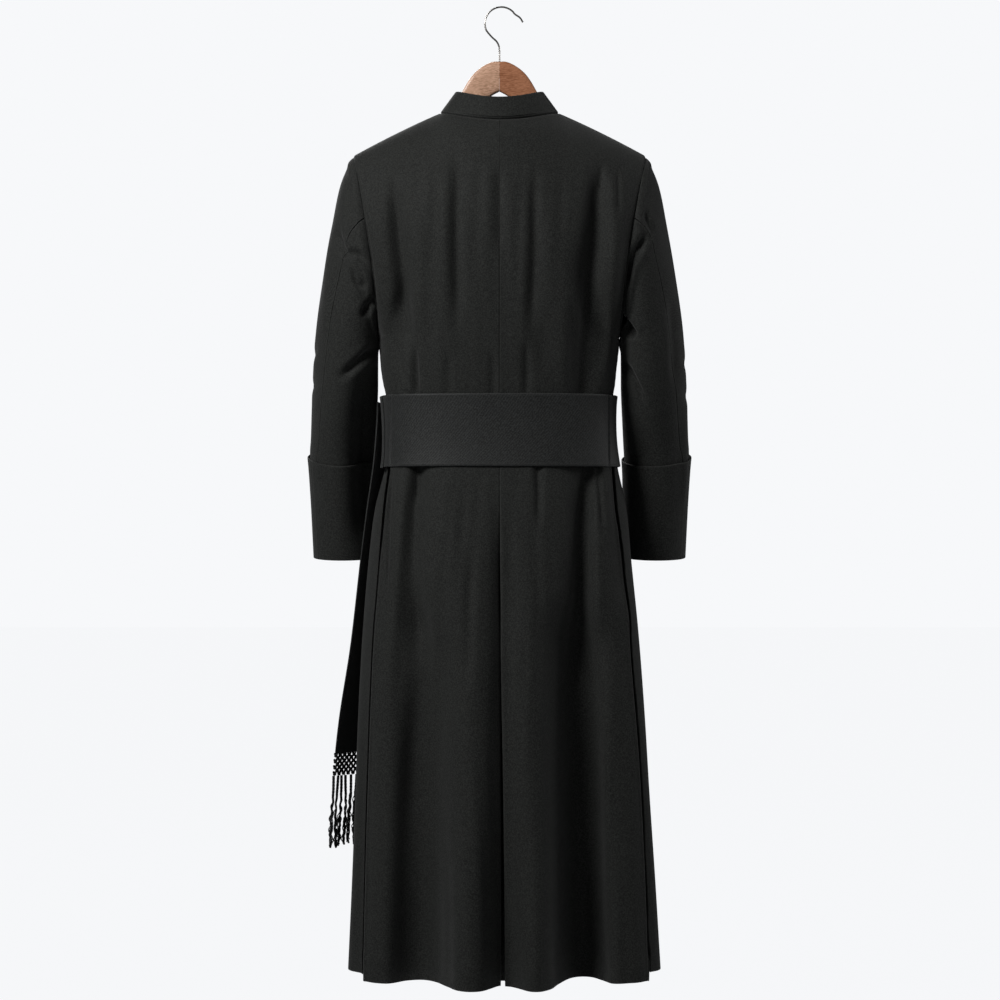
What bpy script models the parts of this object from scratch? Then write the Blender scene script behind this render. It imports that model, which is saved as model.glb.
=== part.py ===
"""A black cassock with its fascia, filled out, hanging on a wooden hanger.

Metres, +Z up.  The garment faces -Y and the wearer's left is +X.  The origin
is the inside of the top of the hanger's hook, where a rail carries it.

Every cloth panel is a wall worked out from a surface: a function of two
fractions, across the panel and down it.  The outer face follows the surface
and the inner face is moved in by the cloth's thickness.
"""
from collections import namedtuple
from math import acos, asin, atan2, cos, exp, pi, radians, sin

import bpy
from mathutils import Vector

# ---------------------------------------------------------------- sizes

CLOTH = 0.0016            # thickness of the worsted cloth
BAND_CLOTH = 0.0024       # the fascia is lined, so it is thicker
COLLAR_CLOTH = 0.0022
SEAM = 0.00035            # clear gap left where two pieces meet
ROUNDNESS = 2.4           # exponent of the body's outline, 2 is an ellipse

NECK_BACK = -0.186        # height of the collar seam at the centre back
NECK_FRONT = -0.212
NECK_SIDE = Vector((0.0945, -0.004, -0.1675))   # where the shoulder seam starts
SHOULDER_TIP = Vector((0.2345, 0.0, -0.238))
SHOULDER_ARCH = 0.009     # makes the shoulder steeper toward its tip
UNDERARM = Vector((0.1915, 0.0, -0.530))
ARMHOLE_DEPTH = 0.078     # half the armhole's width from front to back
ARMHOLE_BOW = 0.008       # how far its seam bows toward the middle
HEM = -1.538

NECK_COLUMNS = 4          # columns of a body panel that end at the neck
BODY_COLUMNS = 10
YOKE_ROWS = 4             # rows from the shoulder to the middle of the armhole
ARM_ROWS = 4              # rows from there to the underarm
NECK_LEAN = (5.0, 8.0)    # lean of the neck's rim, for each metre from the middle

# The body's outline at each height: half widths to the wearer's left and
# right, and how far its middle stands out at the back and at the front.
Section = namedtuple("Section", "height left right back front")
SECTIONS = (
    Section(-0.186, 0.200, 0.200, 0.060, 0.064),
    Section(-0.212, 0.205, 0.205, 0.083, 0.075),
    Section(-0.260, 0.210, 0.210, 0.103, 0.100),
    Section(-0.320, 0.212, 0.212, 0.116, 0.114),
    Section(-0.384, 0.213, 0.213, 0.120, 0.120),
    Section(-0.450, 0.200, 0.200, 0.119, 0.121),
    Section(-0.530, 0.1915, 0.1910, 0.114, 0.120),
    Section(-0.600, 0.1870, 0.1865, 0.106, 0.118),
    Section(-0.640, 0.1820, 0.1825, 0.102, 0.117),
    Section(-0.690, 0.1800, 0.1830, 0.101, 0.117),
    Section(-0.735, 0.1830, 0.1890, 0.105, 0.119),
    Section(-0.800, 0.1990, 0.2030, 0.116, 0.126),
    Section(-0.880, 0.2090, 0.2105, 0.127, 0.135),
    Section(-1.000, 0.2190, 0.2225, 0.138, 0.146),
    Section(-1.130, 0.2262, 0.2325, 0.145, 0.154),
    Section(-1.260, 0.2310, 0.2405, 0.149, 0.160),
    Section(-1.400, 0.2365, 0.2500, 0.150, 0.165),
    Section(HEM, 0.2427, 0.2584, 0.150, 0.168),
)

# Distance from the middle to the panels' outer edges, below the underarm.
Edge = namedtuple("Edge", "height back_left back_right front_left front_right")
EDGES = (
    Edge(-0.530, 0.1915, 0.1910, 0.1915, 0.1910),
    Edge(-0.600, 0.1850, 0.1845, 0.1850, 0.1845),
    Edge(-0.640, 0.1760, 0.1770, 0.1760, 0.1770),
    Edge(-0.690, 0.1720, 0.1750, 0.1720, 0.1750),
    Edge(-0.735, 0.1730, 0.1770, 0.1730, 0.1770),
    Edge(-0.840, 0.1827, 0.1870, 0.1840, 0.1880),
    Edge(-0.920, 0.1890, 0.1935, 0.1900, 0.1945),
    Edge(-1.050, 0.1958, 0.2010, 0.1960, 0.2010),
    Edge(-1.180, 0.2022, 0.2105, 0.2010, 0.2090),
    Edge(-1.320, 0.2070, 0.2190, 0.2050, 0.2160),
    Edge(HEM, 0.2110, 0.2282, 0.2090, 0.2240),
)

# Soft troughs (and lobes, with a negative depth) that run down a panel.
# "start" and "end" are heights, "from_" and "to" fractions across the panel,
# "width" is a fraction too, and the depths are in metres at the start,
# the middle and the end.
Fold = namedtuple("Fold", "panel start end from_ to width upper middle lower")
FOLDS = (
    Fold("back_left", -0.26, -0.66, 0.66, 0.58, 0.09, 0.0, 0.010, 0.003),
    Fold("back_left", -0.66, -1.12, 0.62, 0.70, 0.07, 0.004, 0.011, 0.0),
    Fold("back_left", -0.98, HEM, 0.50, 0.446, 0.17, 0.0, 0.022, 0.043),
    Fold("back_left", -0.80, HEM, 0.16, 0.15, 0.15, 0.0, -0.012, -0.027),
    Fold("back_left", -0.76, HEM, 0.0, 0.0, 0.07, 0.0, 0.010, 0.026),
    Fold("back_right", -0.24, -0.66, 0.590, 0.57, 0.12, 0.0, 0.015, 0.004),
    Fold("back_right", -0.66, -0.98, 0.63, 0.48, 0.12, 0.004, 0.020, 0.034),
    Fold("back_right", -0.98, HEM, 0.48, 0.416, 0.15, 0.034, 0.050, 0.066),
    Fold("back_right", -0.80, HEM, 0.16, 0.14, 0.15, 0.0, -0.012, -0.027),
    Fold("back_right", -0.76, HEM, 0.0, 0.0, 0.07, 0.0, 0.014, 0.034),
    Fold("front_left", -0.76, HEM, 0.46, 0.40, 0.15, 0.0, 0.022, 0.040),
    Fold("front_left", -0.90, HEM, 0.74, 0.70, 0.10, 0.0, -0.004, -0.010),
    Fold("front_right", -0.76, HEM, 0.52, 0.47, 0.16, 0.0, 0.026, 0.046),
    Fold("front_right", -0.30, -0.62, 0.60, 0.54, 0.11, 0.0, 0.010, 0.0),
    Fold("front_left", -0.28, -0.62, 0.62, 0.56, 0.10, 0.0, 0.008, 0.0),
)

PLEAT_DRIFT = {"left": -0.0016, "right": -0.0069}   # where the pleat's edges end
PLEAT_HALF = 0.047        # half the width of the pleat's underlay
PLEAT_DEPTH = 0.030       # how far it sits inside at the hem
PLEAT_TOP = -0.705        # the pleats start under the fascia
PLEAT_CLEAR = 0.0066      # between the backs' cloth and the underlay's edges
PLEAT_BEND = 0.8          # below 1 the underlay is flatter in its middle
PLEAT_OPENS = 1.4         # above 1 it is fully sunk before it reaches the hem
SIDE_TUCK = 0.036         # depth of the side pleats at the hem
SIDE_OPENS = 1.1
SIDE_CLEAR = 0.0016       # between a panel's cloth and the side pleat behind it
SIDE_REACH = 0.004        # how far the side pleat goes in behind a panel's edge
FRONT_LAP = 0.012         # each front passes the middle line by this
LAP_SINK = 0.0034         # the right front sinks this far under the left one
LAP_START = -0.040        # it starts to sink here, across the body,
LAP_RUN = 0.022           # and is down after this distance

# Rings of a sleeve: outer and inner points, the ring's middle and half depth
# from front to back, and how far its back drops as the sleeve leans forward.
Ring = namedtuple("Ring", "outer_x outer_z inner_x inner_z middle depth drop")
SLEEVE = (
    Ring(0.2545, -0.2850, 0.1938, -0.540, -0.0020, 0.0775, 0.000),
    Ring(0.2680, -0.3500, 0.1942, -0.556, -0.0050, 0.0765, 0.000),
    Ring(0.2815, -0.4250, 0.1946, -0.580, -0.0100, 0.0740, 0.002),
    Ring(0.2945, -0.5130, 0.1952, -0.615, -0.0180, 0.0705, 0.004),
    Ring(0.3015, -0.6040, 0.1980, -0.660, -0.0340, 0.0665, 0.008),
    Ring(0.3058, -0.6820, 0.2010, -0.700, -0.0550, 0.0630, 0.012),
    Ring(0.3078, -0.7180, 0.2025, -0.724, -0.0620, 0.0610, 0.014),
    Ring(0.3042, -0.7980, 0.2040, -0.800, -0.0735, 0.0590, 0.009),
    Ring(0.3008, -0.8770, 0.2070, -0.877, -0.0830, 0.0570, 0.004),
)
SLEEVE_START = 0.0037     # where the sleeve's cloth starts, clear of the armhole
CUFF_LIP_RING = 6         # the sleeve's ring that the cuff's lip turns up to
# How far down the sleeve below that ring, how far out, and how far lower.
CuffRow = namedtuple("CuffRow", "down out lower")
CUFF = (
    CuffRow(0.00, 0.0044, -0.002),
    CuffRow(0.16, 0.0034, 0.000),
    CuffRow(0.50, 0.0030, 0.000),
    CuffRow(1.00, 0.0030, 0.004),
)
HIND_SEAM = (74.0, 34.0)  # degrees round the sleeve, at the armhole and the cuff
FORE_SEAM = (220.0, 235.0)
SEAM_TURN = 0.25          # degrees left clear on each side of a sleeve's seams

COLLAR_TOP = {"side": -0.1345, "back": -0.150, "front": -0.172}
COLLAR_TOP_HALF = 0.0700
COLLAR_TOP_BACK = 0.052
COLLAR_TOP_FRONT = -0.058
COLLAR_GAP = radians(22.5)      # half its opening at the throat
COLLAR_LIFT = 0.0016            # its foot stands clear of the neck's rim

BAND_TOP = -0.621
BAND_BOTTOM = -0.734
BAND_PROUD = 0.0042             # how far the band stands off the body's outline
END_PROUD = BAND_PROUD + 0.0034     # the band's lapped end lies on top of it
END_SPAN = (radians(-46.0), radians(12.0))
END_DROP = (0.001, 0.002)       # how much lower its top and bottom edges are
FALL_TOP = -0.630
FALL_FACING = Vector((0.8, -0.5, 0.0))      # the way a fall's middle stands out
NET_TOP = -1.194
FRINGE_TOP = -1.230
FRINGE_END = -1.349

# A fall's two edges in plan at each height, and how far its middle stands out.
Strip = namedtuple("Strip", "height rear_x rear_y front_x front_y bow")
FALLS = {
    "rear": (
        Strip(-0.630, 0.1962, 0.002, 0.1660, -0.088, 0.0115),
        Strip(-0.667, 0.1975, 0.002, 0.1665, -0.090, 0.0115),
        Strip(-0.730, 0.2030, 0.002, 0.1690, -0.092, 0.008),
        Strip(-0.810, 0.2145, 0.000, 0.1750, -0.095, 0.005),
        Strip(-0.885, 0.2240, -0.004, 0.1810, -0.100, 0.004),
        Strip(-1.020, 0.2400, -0.010, 0.1900, -0.105, 0.004),
        Strip(-1.140, 0.2590, -0.016, 0.1970, -0.108, 0.004),
        Strip(FRINGE_TOP, 0.2680, -0.020, 0.2010, -0.109, 0.004),
        Strip(FRINGE_END, 0.2715, -0.024, 0.2040, -0.111, 0.004),
    ),
    "front": (
        Strip(-0.630, 0.1580, -0.098, 0.0850, -0.1270, 0.0115),
        Strip(-0.667, 0.1590, -0.099, 0.0855, -0.1290, 0.0115),
        Strip(-0.730, 0.1610, -0.101, 0.0870, -0.1340, 0.008),
        Strip(-0.810, 0.1660, -0.106, 0.0910, -0.1420, 0.005),
        Strip(-0.885, 0.1700, -0.112, 0.0950, -0.1500, 0.004),
        Strip(-1.020, 0.1770, -0.120, 0.1010, -0.1640, 0.004),
        Strip(-1.140, 0.1840, -0.126, 0.1050, -0.1730, 0.004),
        Strip(FRINGE_TOP, 0.1880, -0.130, 0.1080, -0.1800, 0.004),
        Strip(FRINGE_END, 0.1910, -0.133, 0.1100, -0.1870, 0.004),
    ),
}

BUTTON_RADIUS = 0.0056
BUTTON_RISE = 0.0024
BUTTON_FIRST = -0.235
BUTTON_PITCH = 0.0458
BUTTON_COUNT = 28
BUTTON_CLEAR = 0.012      # none lies closer than this to the fascia's edges

HOOK_WIRE = 0.0014        # radius of the wire
HOOK_LOOP = 0.0263        # radius of the loop's middle line
HOOK_CENTRE = Vector((-0.003, 0.0, -0.0248))
HOOK_TIP = (Vector((-0.0374, 0.0, -0.0229)), Vector((-0.0325, 0.0, -0.0155)))
HOOK_TURNS = range(146, -37, -14)       # degrees round the loop
HOOK_SHANK_END = -0.112
HOOK_NECK = (Vector((0.0118, 0.0, -0.0470)), Vector((0.0048, 0.0, -0.0535)),
             Vector((0.0010, 0.0, -0.0610)), Vector((0.0, 0.0, -0.0700)),
             Vector((0.0, 0.0, HOOK_SHANK_END)))
HOLE_LENGTH = 0.060       # of the hole for the shank, which opens at the joint's top
HOLE_SPARE = 0.001        # it goes this far below the shank's end
HANGER_HALF_THICKNESS = 0.0068
HANGER_TIP_THICKNESS = 0.0037
HANGER_FACE = 0.5         # exponents that flatten the arm's faces
HANGER_RIM = 0.62         # and round its rims

# The hanger's outline from the joint outwards.
Slice = namedtuple("Slice", "across top underside")
HANGER = (
    Slice(0.0000, -0.0860, -0.1336),
    Slice(0.0110, -0.0864, -0.1395),
    Slice(0.0254, -0.0928, -0.1490),
    Slice(0.0398, -0.1040, -0.1580),
    Slice(0.0498, -0.1170, -0.1650),
    Slice(0.0590, -0.1330, -0.1720),
    Slice(0.0680, -0.1500, -0.1785),
    Slice(0.0800, -0.1680, -0.1870),
    Slice(0.0960, -0.1790, -0.1970),
    Slice(0.1260, -0.1920, -0.2120),
    Slice(0.1600, -0.2075, -0.2280),
    Slice(0.1880, -0.2225, -0.2420),
    Slice(0.2080, -0.2345, -0.2510),
    Slice(0.2130, -0.2390, -0.2490),
)

Finish = namedtuple("Finish", "colour roughness metallic")
FINISHES = {
    "wool": Finish((0.022, 0.023, 0.023), 0.85, 0.0),
    "sash": Finish((0.030, 0.031, 0.031), 0.70, 0.0),
    "fringe": Finish((0.012, 0.012, 0.013), 0.80, 0.0),
    "light_wood": Finish((0.44, 0.26, 0.17), 0.45, 0.0),
    "dark_wood": Finish((0.25, 0.115, 0.06), 0.45, 0.0),
    "steel": Finish((0.55, 0.53, 0.50), 0.30, 1.0),
}


# ---------------------------------------------------------------- tools

def clear_scene():
    for thing in list(bpy.data.objects):
        bpy.data.objects.remove(thing)


def material(name):
    known = bpy.data.materials.get(name)
    if known:
        return known
    finish = FINISHES[name]
    made = bpy.data.materials.new(name)
    made.use_nodes = True
    shader = made.node_tree.nodes["Principled BSDF"]
    shader.inputs["Base Color"].default_value = (*finish.colour, 1.0)
    shader.inputs["Roughness"].default_value = finish.roughness
    shader.inputs["Metallic"].default_value = finish.metallic
    return made


def add_object(name, vertices, faces, finish, smooth=True):
    mesh = bpy.data.meshes.new(name)
    mesh.from_pydata([tuple(v) for v in vertices], [], faces)
    mesh.validate()
    mesh.polygons.foreach_set("use_smooth", [smooth] * len(mesh.polygons))
    mesh.materials.append(material(finish))
    made = bpy.data.objects.new(name, mesh)
    bpy.context.scene.collection.objects.link(made)
    return made


def ease(fraction):
    """0 to 1 with level ends."""
    held = min(1.0, max(0.0, fraction))
    return held * held * (3.0 - 2.0 * held)


def mix(first, second, fraction):
    return first + (second - first) * fraction


def along(table, height, column):
    """A column's value at a height, on a smooth curve through the rows."""
    rows = [(row.height, getattr(row, column)) for row in table]
    if height >= rows[0][0]:
        return rows[0][1]
    if height <= rows[-1][0]:
        return rows[-1][1]
    slopes = []
    for i in range(len(rows)):
        before = rows[max(i - 1, 0)]
        after = rows[min(i + 1, len(rows) - 1)]
        slopes.append((after[1] - before[1]) / (after[0] - before[0]))
    for i in range(len(rows) - 1):
        (top, a), (low, b) = rows[i], rows[i + 1]
        if top >= height >= low:
            run = low - top
            t = (height - top) / run
            hold = ease(t)
            rise = t * (1 - t) ** 2 * slopes[i] + t * t * (t - 1) * slopes[i + 1]
            return mix(a, b, hold) + rise * run
    return rows[-1][1]


def signed_power(value, power):
    return abs(value) ** power * (1.0 if value >= 0 else -1.0)


# ---------------------------------------------------------------- the body

def armhole(angle):
    """The left armhole's seam: 0 at the shoulder tip, pi at the underarm, and
    pi/2 at the middle of its back."""
    middle = (SHOULDER_TIP + UNDERARM) / 2
    half = (SHOULDER_TIP - UNDERARM) / 2
    point = middle + half * cos(angle)
    point.x -= ARMHOLE_BOW * sin(angle) ** 2
    point.y = ARMHOLE_DEPTH * sin(angle)
    return point


ARMHOLE_MIDDLE = armhole(pi / 2).z
ARMHOLE_HALF = (SHOULDER_TIP.z - UNDERARM.z) / 2


def panel_reach(panel, height):
    """Half width and middle depth of a panel's outline, and its edge's distance."""
    face, side = panel.split("_")
    depth = along(SECTIONS, height, face)
    if height > UNDERARM.z:
        turn = acos(max(-1.0, min(1.0, (height - ARMHOLE_MIDDLE) / ARMHOLE_HALF)))
        seam = armhole(turn)
        spread = (1.0 - (seam.y / depth) ** ROUNDNESS) ** (1 / ROUNDNESS)
        return seam.x / spread, depth, seam.x
    half = along(SECTIONS, height, side)
    return half, depth, min(along(EDGES, height, panel), half)


def fold_depth(panel, across, height):
    total = 0.0
    for fold in FOLDS:
        if fold.panel != panel or height > fold.start or height < fold.end:
            continue
        t = (height - fold.start) / (fold.end - fold.start)
        if t < 0.5:
            depth = mix(fold.upper, fold.middle, ease(2 * t))
        else:
            depth = mix(fold.middle, fold.lower, ease(2 * t - 1))
        away = (across - mix(fold.from_, fold.to, t)) / fold.width
        total += depth * exp(-away * away)
    return total


def centre_shift(panel, across, height):
    """Sideways shift near the middle: the pleat's drift behind, the lap before."""
    face, side = panel.split("_")
    if face == "back":
        t = ease((height + 0.734) / (HEM + 0.734))
        return PLEAT_DRIFT[side] * t * (1 - across) ** 2
    outward = -FRONT_LAP if side == "left" else FRONT_LAP
    return outward * (1 - across) ** 6


def lap_sink(panel, x):
    """The right front lies under the left one near the middle."""
    if panel != "front_right":
        return 0.0
    return LAP_SINK * ease((x - LAP_START) / LAP_RUN)


def level_point(panel, across, height):
    """A point of a panel at a height below the middle of the armhole."""
    face, side = panel.split("_")
    half, depth, edge = panel_reach(panel, height)
    full_turn = asin(min(1.0, edge / half) ** (ROUNDNESS / 2))
    turn = across * full_turn
    x = half * signed_power(sin(turn), 2 / ROUNDNESS)
    y = depth * signed_power(cos(turn), 2 / ROUNDNESS)
    sideways = 1.0 if side == "left" else -1.0
    back = 1.0 if face == "back" else -1.0
    return Vector((sideways * x, back * y, height))


def neck_point(angle):
    """The collar's seam: 0 at the centre back, pi at the centre front."""
    turned = cos(angle)
    back = along(SECTIONS, NECK_BACK, "back")
    front = along(SECTIONS, NECK_FRONT, "front")
    reach = back - NECK_SIDE.y if turned >= 0 else front + NECK_SIDE.y
    end = NECK_BACK if turned >= 0 else NECK_FRONT
    return Vector((NECK_SIDE.x * sin(angle), NECK_SIDE.y + reach * turned,
                   mix(NECK_SIDE.z, end, turned ** 2)))


def shoulder_point(fraction):
    """The shoulder seam, from the neck to the tip, steeper toward the tip."""
    point = NECK_SIDE.lerp(SHOULDER_TIP, fraction)
    point.z += SHOULDER_ARCH * fraction * (1 - fraction)
    return point


def panel_top(panel, across):
    face, side = panel.split("_")
    at_neck = NECK_COLUMNS / BODY_COLUMNS
    if across <= at_neck:
        quarter = across / at_neck * pi / 2
        point = neck_point(quarter if face == "back" else pi - quarter)
    else:
        point = shoulder_point((across - at_neck) / (1 - at_neck))
    if side == "right":
        point.x = -point.x
    return point


def yoke_point(panel, across, down):
    """The patch between the neck and shoulder above, the armhole outside,
    the middle line, and the level outline half-way down the armhole."""
    face, side = panel.split("_")
    sideways = 1.0 if side == "left" else -1.0
    back = 1.0 if face == "back" else -1.0
    fall = 1.0 - cos(down * pi / 2)
    neck = NECK_BACK if face == "back" else NECK_FRONT
    height = mix(neck, ARMHOLE_MIDDLE, fall)
    middle = Vector((0.0, back * along(SECTIONS, height, face), height))
    outer = armhole(down * pi / 2)
    outer.x *= sideways
    outer.y *= back
    sunk = sin(down * pi / 2)
    top = panel_top(panel, across)
    low = level_point(panel, across, ARMHOLE_MIDDLE)
    top_in, top_out = panel_top(panel, 0.0), panel_top(panel, 1.0)
    low_in = level_point(panel, 0.0, ARMHOLE_MIDDLE)
    low_out = level_point(panel, 1.0, ARMHOLE_MIDDLE)
    rails = mix(top, low, sunk)
    sides = mix(middle, outer, across)
    corners = mix(mix(top_in, low_in, sunk), mix(top_out, low_out, sunk), across)
    return rails + sides - corners


def body_point(panel, across, down):
    """A body panel's surface.  "down" is 0 to 1 to the armhole's middle,
    1 to 2 to the underarm, and 2 to 3 to the hem."""
    if down < 1.0:
        point = yoke_point(panel, across, down)
    elif down < 2.0:
        point = level_point(panel, across, armhole(down * pi / 2).z)
    else:
        point = level_point(panel, across, mix(UNDERARM.z, HEM, down - 2.0))
    back = 1.0 if panel.startswith("back") else -1.0
    point.x += centre_shift(panel, across, point.z)
    settle = ease((down - 0.15) / 0.5)
    point.y -= back * settle * fold_depth(panel, across, point.z)
    point.y -= back * lap_sink(panel, point.x)
    return point


# ---------------------------------------------------------------- walls

def cross_at(surface, across, down, last=1.0):
    """The cross product of a surface's two directions at a point."""
    step = 0.003
    run = surface(min(across + step, 1.0), down) - surface(max(across - step, 0.0), down)
    drop = surface(across, min(down + step, last)) - surface(across, max(down - step, 0.0))
    return run.cross(drop).normalized()


def facing(surface, outward, last=1.0):
    """1 or -1: the sign that turns the cross product outward at the middle."""
    return 1.0 if cross_at(surface, 0.5, last / 2, last).dot(outward) > 0 else -1.0


def wall(name, finish, outer, inner, closed=False):
    """A closed solid between two grids of points, row by row."""
    rows, columns = len(outer), len(outer[0])
    vertices = [p for row in outer for p in row] + [p for row in inner for p in row]
    half = rows * columns
    faces = []
    spans = columns if closed else columns - 1
    for r in range(rows - 1):
        for c in range(spans):
            a, b = r * columns + c, r * columns + (c + 1) % columns
            d, e = a + columns, b + columns
            faces.append((a, d, e, b))
            faces.append((half + a, half + b, half + e, half + d))
    last = (rows - 1) * columns
    for c in range(spans):
        a, b = c, (c + 1) % columns
        faces.append((a, b, half + b, half + a))
        faces.append((last + b, last + a, half + last + a, half + last + b))
    if not closed:
        for r in range(rows - 1):
            a, d = r * columns, (r + 1) * columns
            faces.append((a, half + a, half + d, d))
            a, d = a + columns - 1, d + columns - 1
            faces.append((d, half + d, half + a, a))
    made = add_object(name, vertices, faces, finish)
    face_outward(made)
    return made


def face_outward(thing):
    """Turns a closed mesh inside out where its volume comes out negative."""
    mesh = thing.data
    volume = 0.0
    for face in mesh.polygons:
        points = [mesh.vertices[i].co for i in face.vertices]
        for i in range(1, len(points) - 1):
            volume += points[0].dot(points[i].cross(points[i + 1]))
    if volume < 0:
        mesh.flip_normals()


def down_at(height):
    """The fraction down a body panel, from 2 to 3, of a height below the arm."""
    return 2 + (height - UNDERARM.z) / (HEM - UNDERARM.z)


def heights_below(top):
    """The table's heights below one, and that one."""
    return [top] + [row.height for row in SECTIONS if row.height < top - 0.001]


def body_rows():
    yoke = [i / YOKE_ROWS for i in range(YOKE_ROWS)]
    arm = [1 + i / ARM_ROWS for i in range(ARM_ROWS)]
    return yoke + arm + [down_at(height) for height in heights_below(UNDERARM.z)]


def rim_normal(point, column):
    """Upward along the shoulder, and leaning outward round the neck."""
    if column >= NECK_COLUMNS:
        return Vector((0.0, 0.0, 1.0))
    return Vector((NECK_LEAN[0] * point.x, NECK_LEAN[1] * point.y, 1.0))


def body_panel(panel):
    """A front or a back, cut in one from the neck to the hem."""
    face, side = panel.split("_")
    sideways = 1.0 if side == "left" else -1.0
    back = 1.0 if face == "back" else -1.0

    def surface(across, down):
        return body_point(panel, across, down)

    sign = facing(surface, Vector((sideways, 2.0 * back, 0.0)), 3.0)
    outer, inner = [], []
    for down in body_rows():
        outer_row, inner_row = [], []
        for column in range(BODY_COLUMNS + 1):
            across = column / BODY_COLUMNS
            point = surface(across, down)
            normal = sign * cross_at(surface, across, down, 3.0)
            if down == 0:
                normal = rim_normal(point, column)
                point.y += back * SEAM / 2
            if column == 0:
                normal.x = 0.0
            if column == 0 and face == "back":
                point.x += sideways * SEAM / 2
            if column == BODY_COLUMNS and down >= 2:
                normal.y = 0.0
                point.y += back * SEAM / 2
            outer_row.append(point)
            inner_row.append(point - normal.normalized() * CLOTH)
        outer.append(outer_row)
        inner.append(inner_row)
    return wall(panel, "wool", outer, inner)


def build_body():
    for panel in ("back_left", "back_right", "front_left", "front_right"):
        body_panel(panel)


# ------------------------------------------------------------- the pleats

def pleat_fraction(height):
    return (height - PLEAT_TOP) / (HEM - PLEAT_TOP)


def pleat_underlay():
    """The strip behind the open centre pleat, fullest at the middle."""

    def surface(across, down):
        height = mix(PLEAT_TOP, HEM, down)
        x = mix(PLEAT_HALF, -PLEAT_HALF, across)
        panel = "back_left" if x > 0 else "back_right"
        point = nearest_on_panel(panel, abs(x), height)
        bend = sin(across * pi) ** PLEAT_BEND
        tuck = CLOTH + PLEAT_CLEAR + PLEAT_DEPTH * ease(down * PLEAT_OPENS) * bend
        return Vector((x, point.y - tuck, height))

    rows = [pleat_fraction(height) for height in heights_below(PLEAT_TOP)]
    grid_wall("back_pleat", "wool", surface, rows, Vector((0, 1, 0)), columns=8)


def nearest_on_panel(panel, distance, height):
    """The panel's point at a distance from the middle, by halving."""
    low, high = 0.0, 1.0
    down = down_at(height)
    for _ in range(18):
        guess = (low + high) / 2
        if abs(body_point(panel, guess, down).x) < distance:
            low = guess
        else:
            high = guess
    return body_point(panel, low, down)


def side_surface(side):
    """A side pleat: from inside the back's edge, in round its fold, out to the
    side, and in again behind the front's edge."""
    sideways = 1.0 if side == "left" else -1.0

    def surface(across, down):
        height = mix(PLEAT_TOP, HEM, down)
        low = down_at(height)
        half = along(SECTIONS, height, side)
        behind = body_point("back_" + side, 1.0, low)
        before = body_point("front_" + side, 1.0, low)
        inset = CLOTH + SIDE_CLEAR
        behind += Vector((-sideways * SIDE_REACH, -inset, 0.0))
        before += Vector((-sideways * SIDE_REACH, inset, 0.0))
        angle_behind = atan2(behind.y, abs(behind.x))
        angle_before = atan2(before.y, abs(before.x))
        turn = mix(angle_behind, angle_before, across)
        straight = mix(behind.xy.length, before.xy.length, across)
        reach = mix(straight, half, sin(across * pi))
        x = reach * cos(turn)
        y = reach * sin(turn)
        near = min(across, 1 - across) * 2
        bump = near * (1 - near) ** 2 * 27 / 4      # 1 at its highest
        tuck = SIDE_TUCK * ease(down * SIDE_OPENS) * bump
        inward = 1.0 if across < 0.5 else -1.0
        return Vector((sideways * (x - 0.5 * tuck), y - inward * tuck, height))

    return surface


def build_pleats():
    pleat_underlay()
    rows = [pleat_fraction(height) for height in heights_below(PLEAT_TOP)]
    for side, sideways in (("left", 1), ("right", -1)):
        grid_wall("side_" + side, "wool", side_surface(side), rows,
                  Vector((sideways, 0, 0)), columns=12)


def even(steps):
    return [i / steps for i in range(steps + 1)]


def grid_wall(name, finish, surface, rows, outward, columns, thickness=CLOTH,
              level_foot=False):
    """A wall on a surface of two fractions, open on all four edges.  A level
    foot keeps the bottom rim from leaning down into what is below it."""
    sign = facing(surface, outward)
    outer, inner = [], []
    for down in rows:
        points, moved = [], []
        for across in even(columns):
            point = surface(across, down)
            normal = sign * cross_at(surface, across, down)
            if level_foot and down == rows[-1]:
                normal.z = 0.0
            points.append(point)
            moved.append(point - normal.normalized() * thickness)
        outer.append(points)
        inner.append(moved)
    return wall(name, finish, outer, inner)


def tube_wall(name, finish, ring_point, rows, thickness, columns):
    """A wall round a tube; ring_point takes an angle and a fraction down."""
    outer, inner = [], []
    for down in rows:
        middle = (ring_point(0.0, down) + ring_point(pi, down)) / 2
        points = [ring_point(2 * pi * c / columns, down) for c in range(columns)]
        moved = []
        for point in points:
            inward = middle - point
            inward.z = 0.0
            moved.append(point + inward.normalized() * thickness)
        outer.append(points)
        inner.append(moved)
    return wall(name, finish, outer, inner, closed=True)


# ------------------------------------------------------------ the sleeves

def ring_at(rings, down):
    """A ring between two rows; "down" is 0 at the first and 1 at the last."""
    place = min(down, 1.0) * (len(rings) - 1)
    index = min(int(place), len(rings) - 2)
    return Ring(*(mix(a, b, place - index)
                  for a, b in zip(rings[index], rings[index + 1])))


def on_ring(ring, angle):
    """A ring's point: 0 is its outer point and pi/2 the middle of its back."""
    x = mix(ring.inner_x, ring.outer_x, (1 + cos(angle)) / 2)
    z = mix(ring.inner_z, ring.outer_z, (1 + cos(angle)) / 2)
    return Vector((x, ring.middle + ring.depth * sin(angle), z - ring.drop * sin(angle)))


def sleeve_point(angle, down):
    """The left sleeve's surface, from just past the armhole to its hem."""
    steps = len(SLEEVE)
    place = min(down, 1.0) * steps
    if place < 1.0:
        seam, first = armhole(angle), on_ring(SLEEVE[0], angle)
        gone = (first - seam).length
        start = SLEEVE_START / max(gone, SLEEVE_START * 1.5)
        return seam.lerp(first, mix(start, 1.0, place))
    return on_ring(ring_at(SLEEVE, (place - 1.0) / (steps - 1)), angle)


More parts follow.
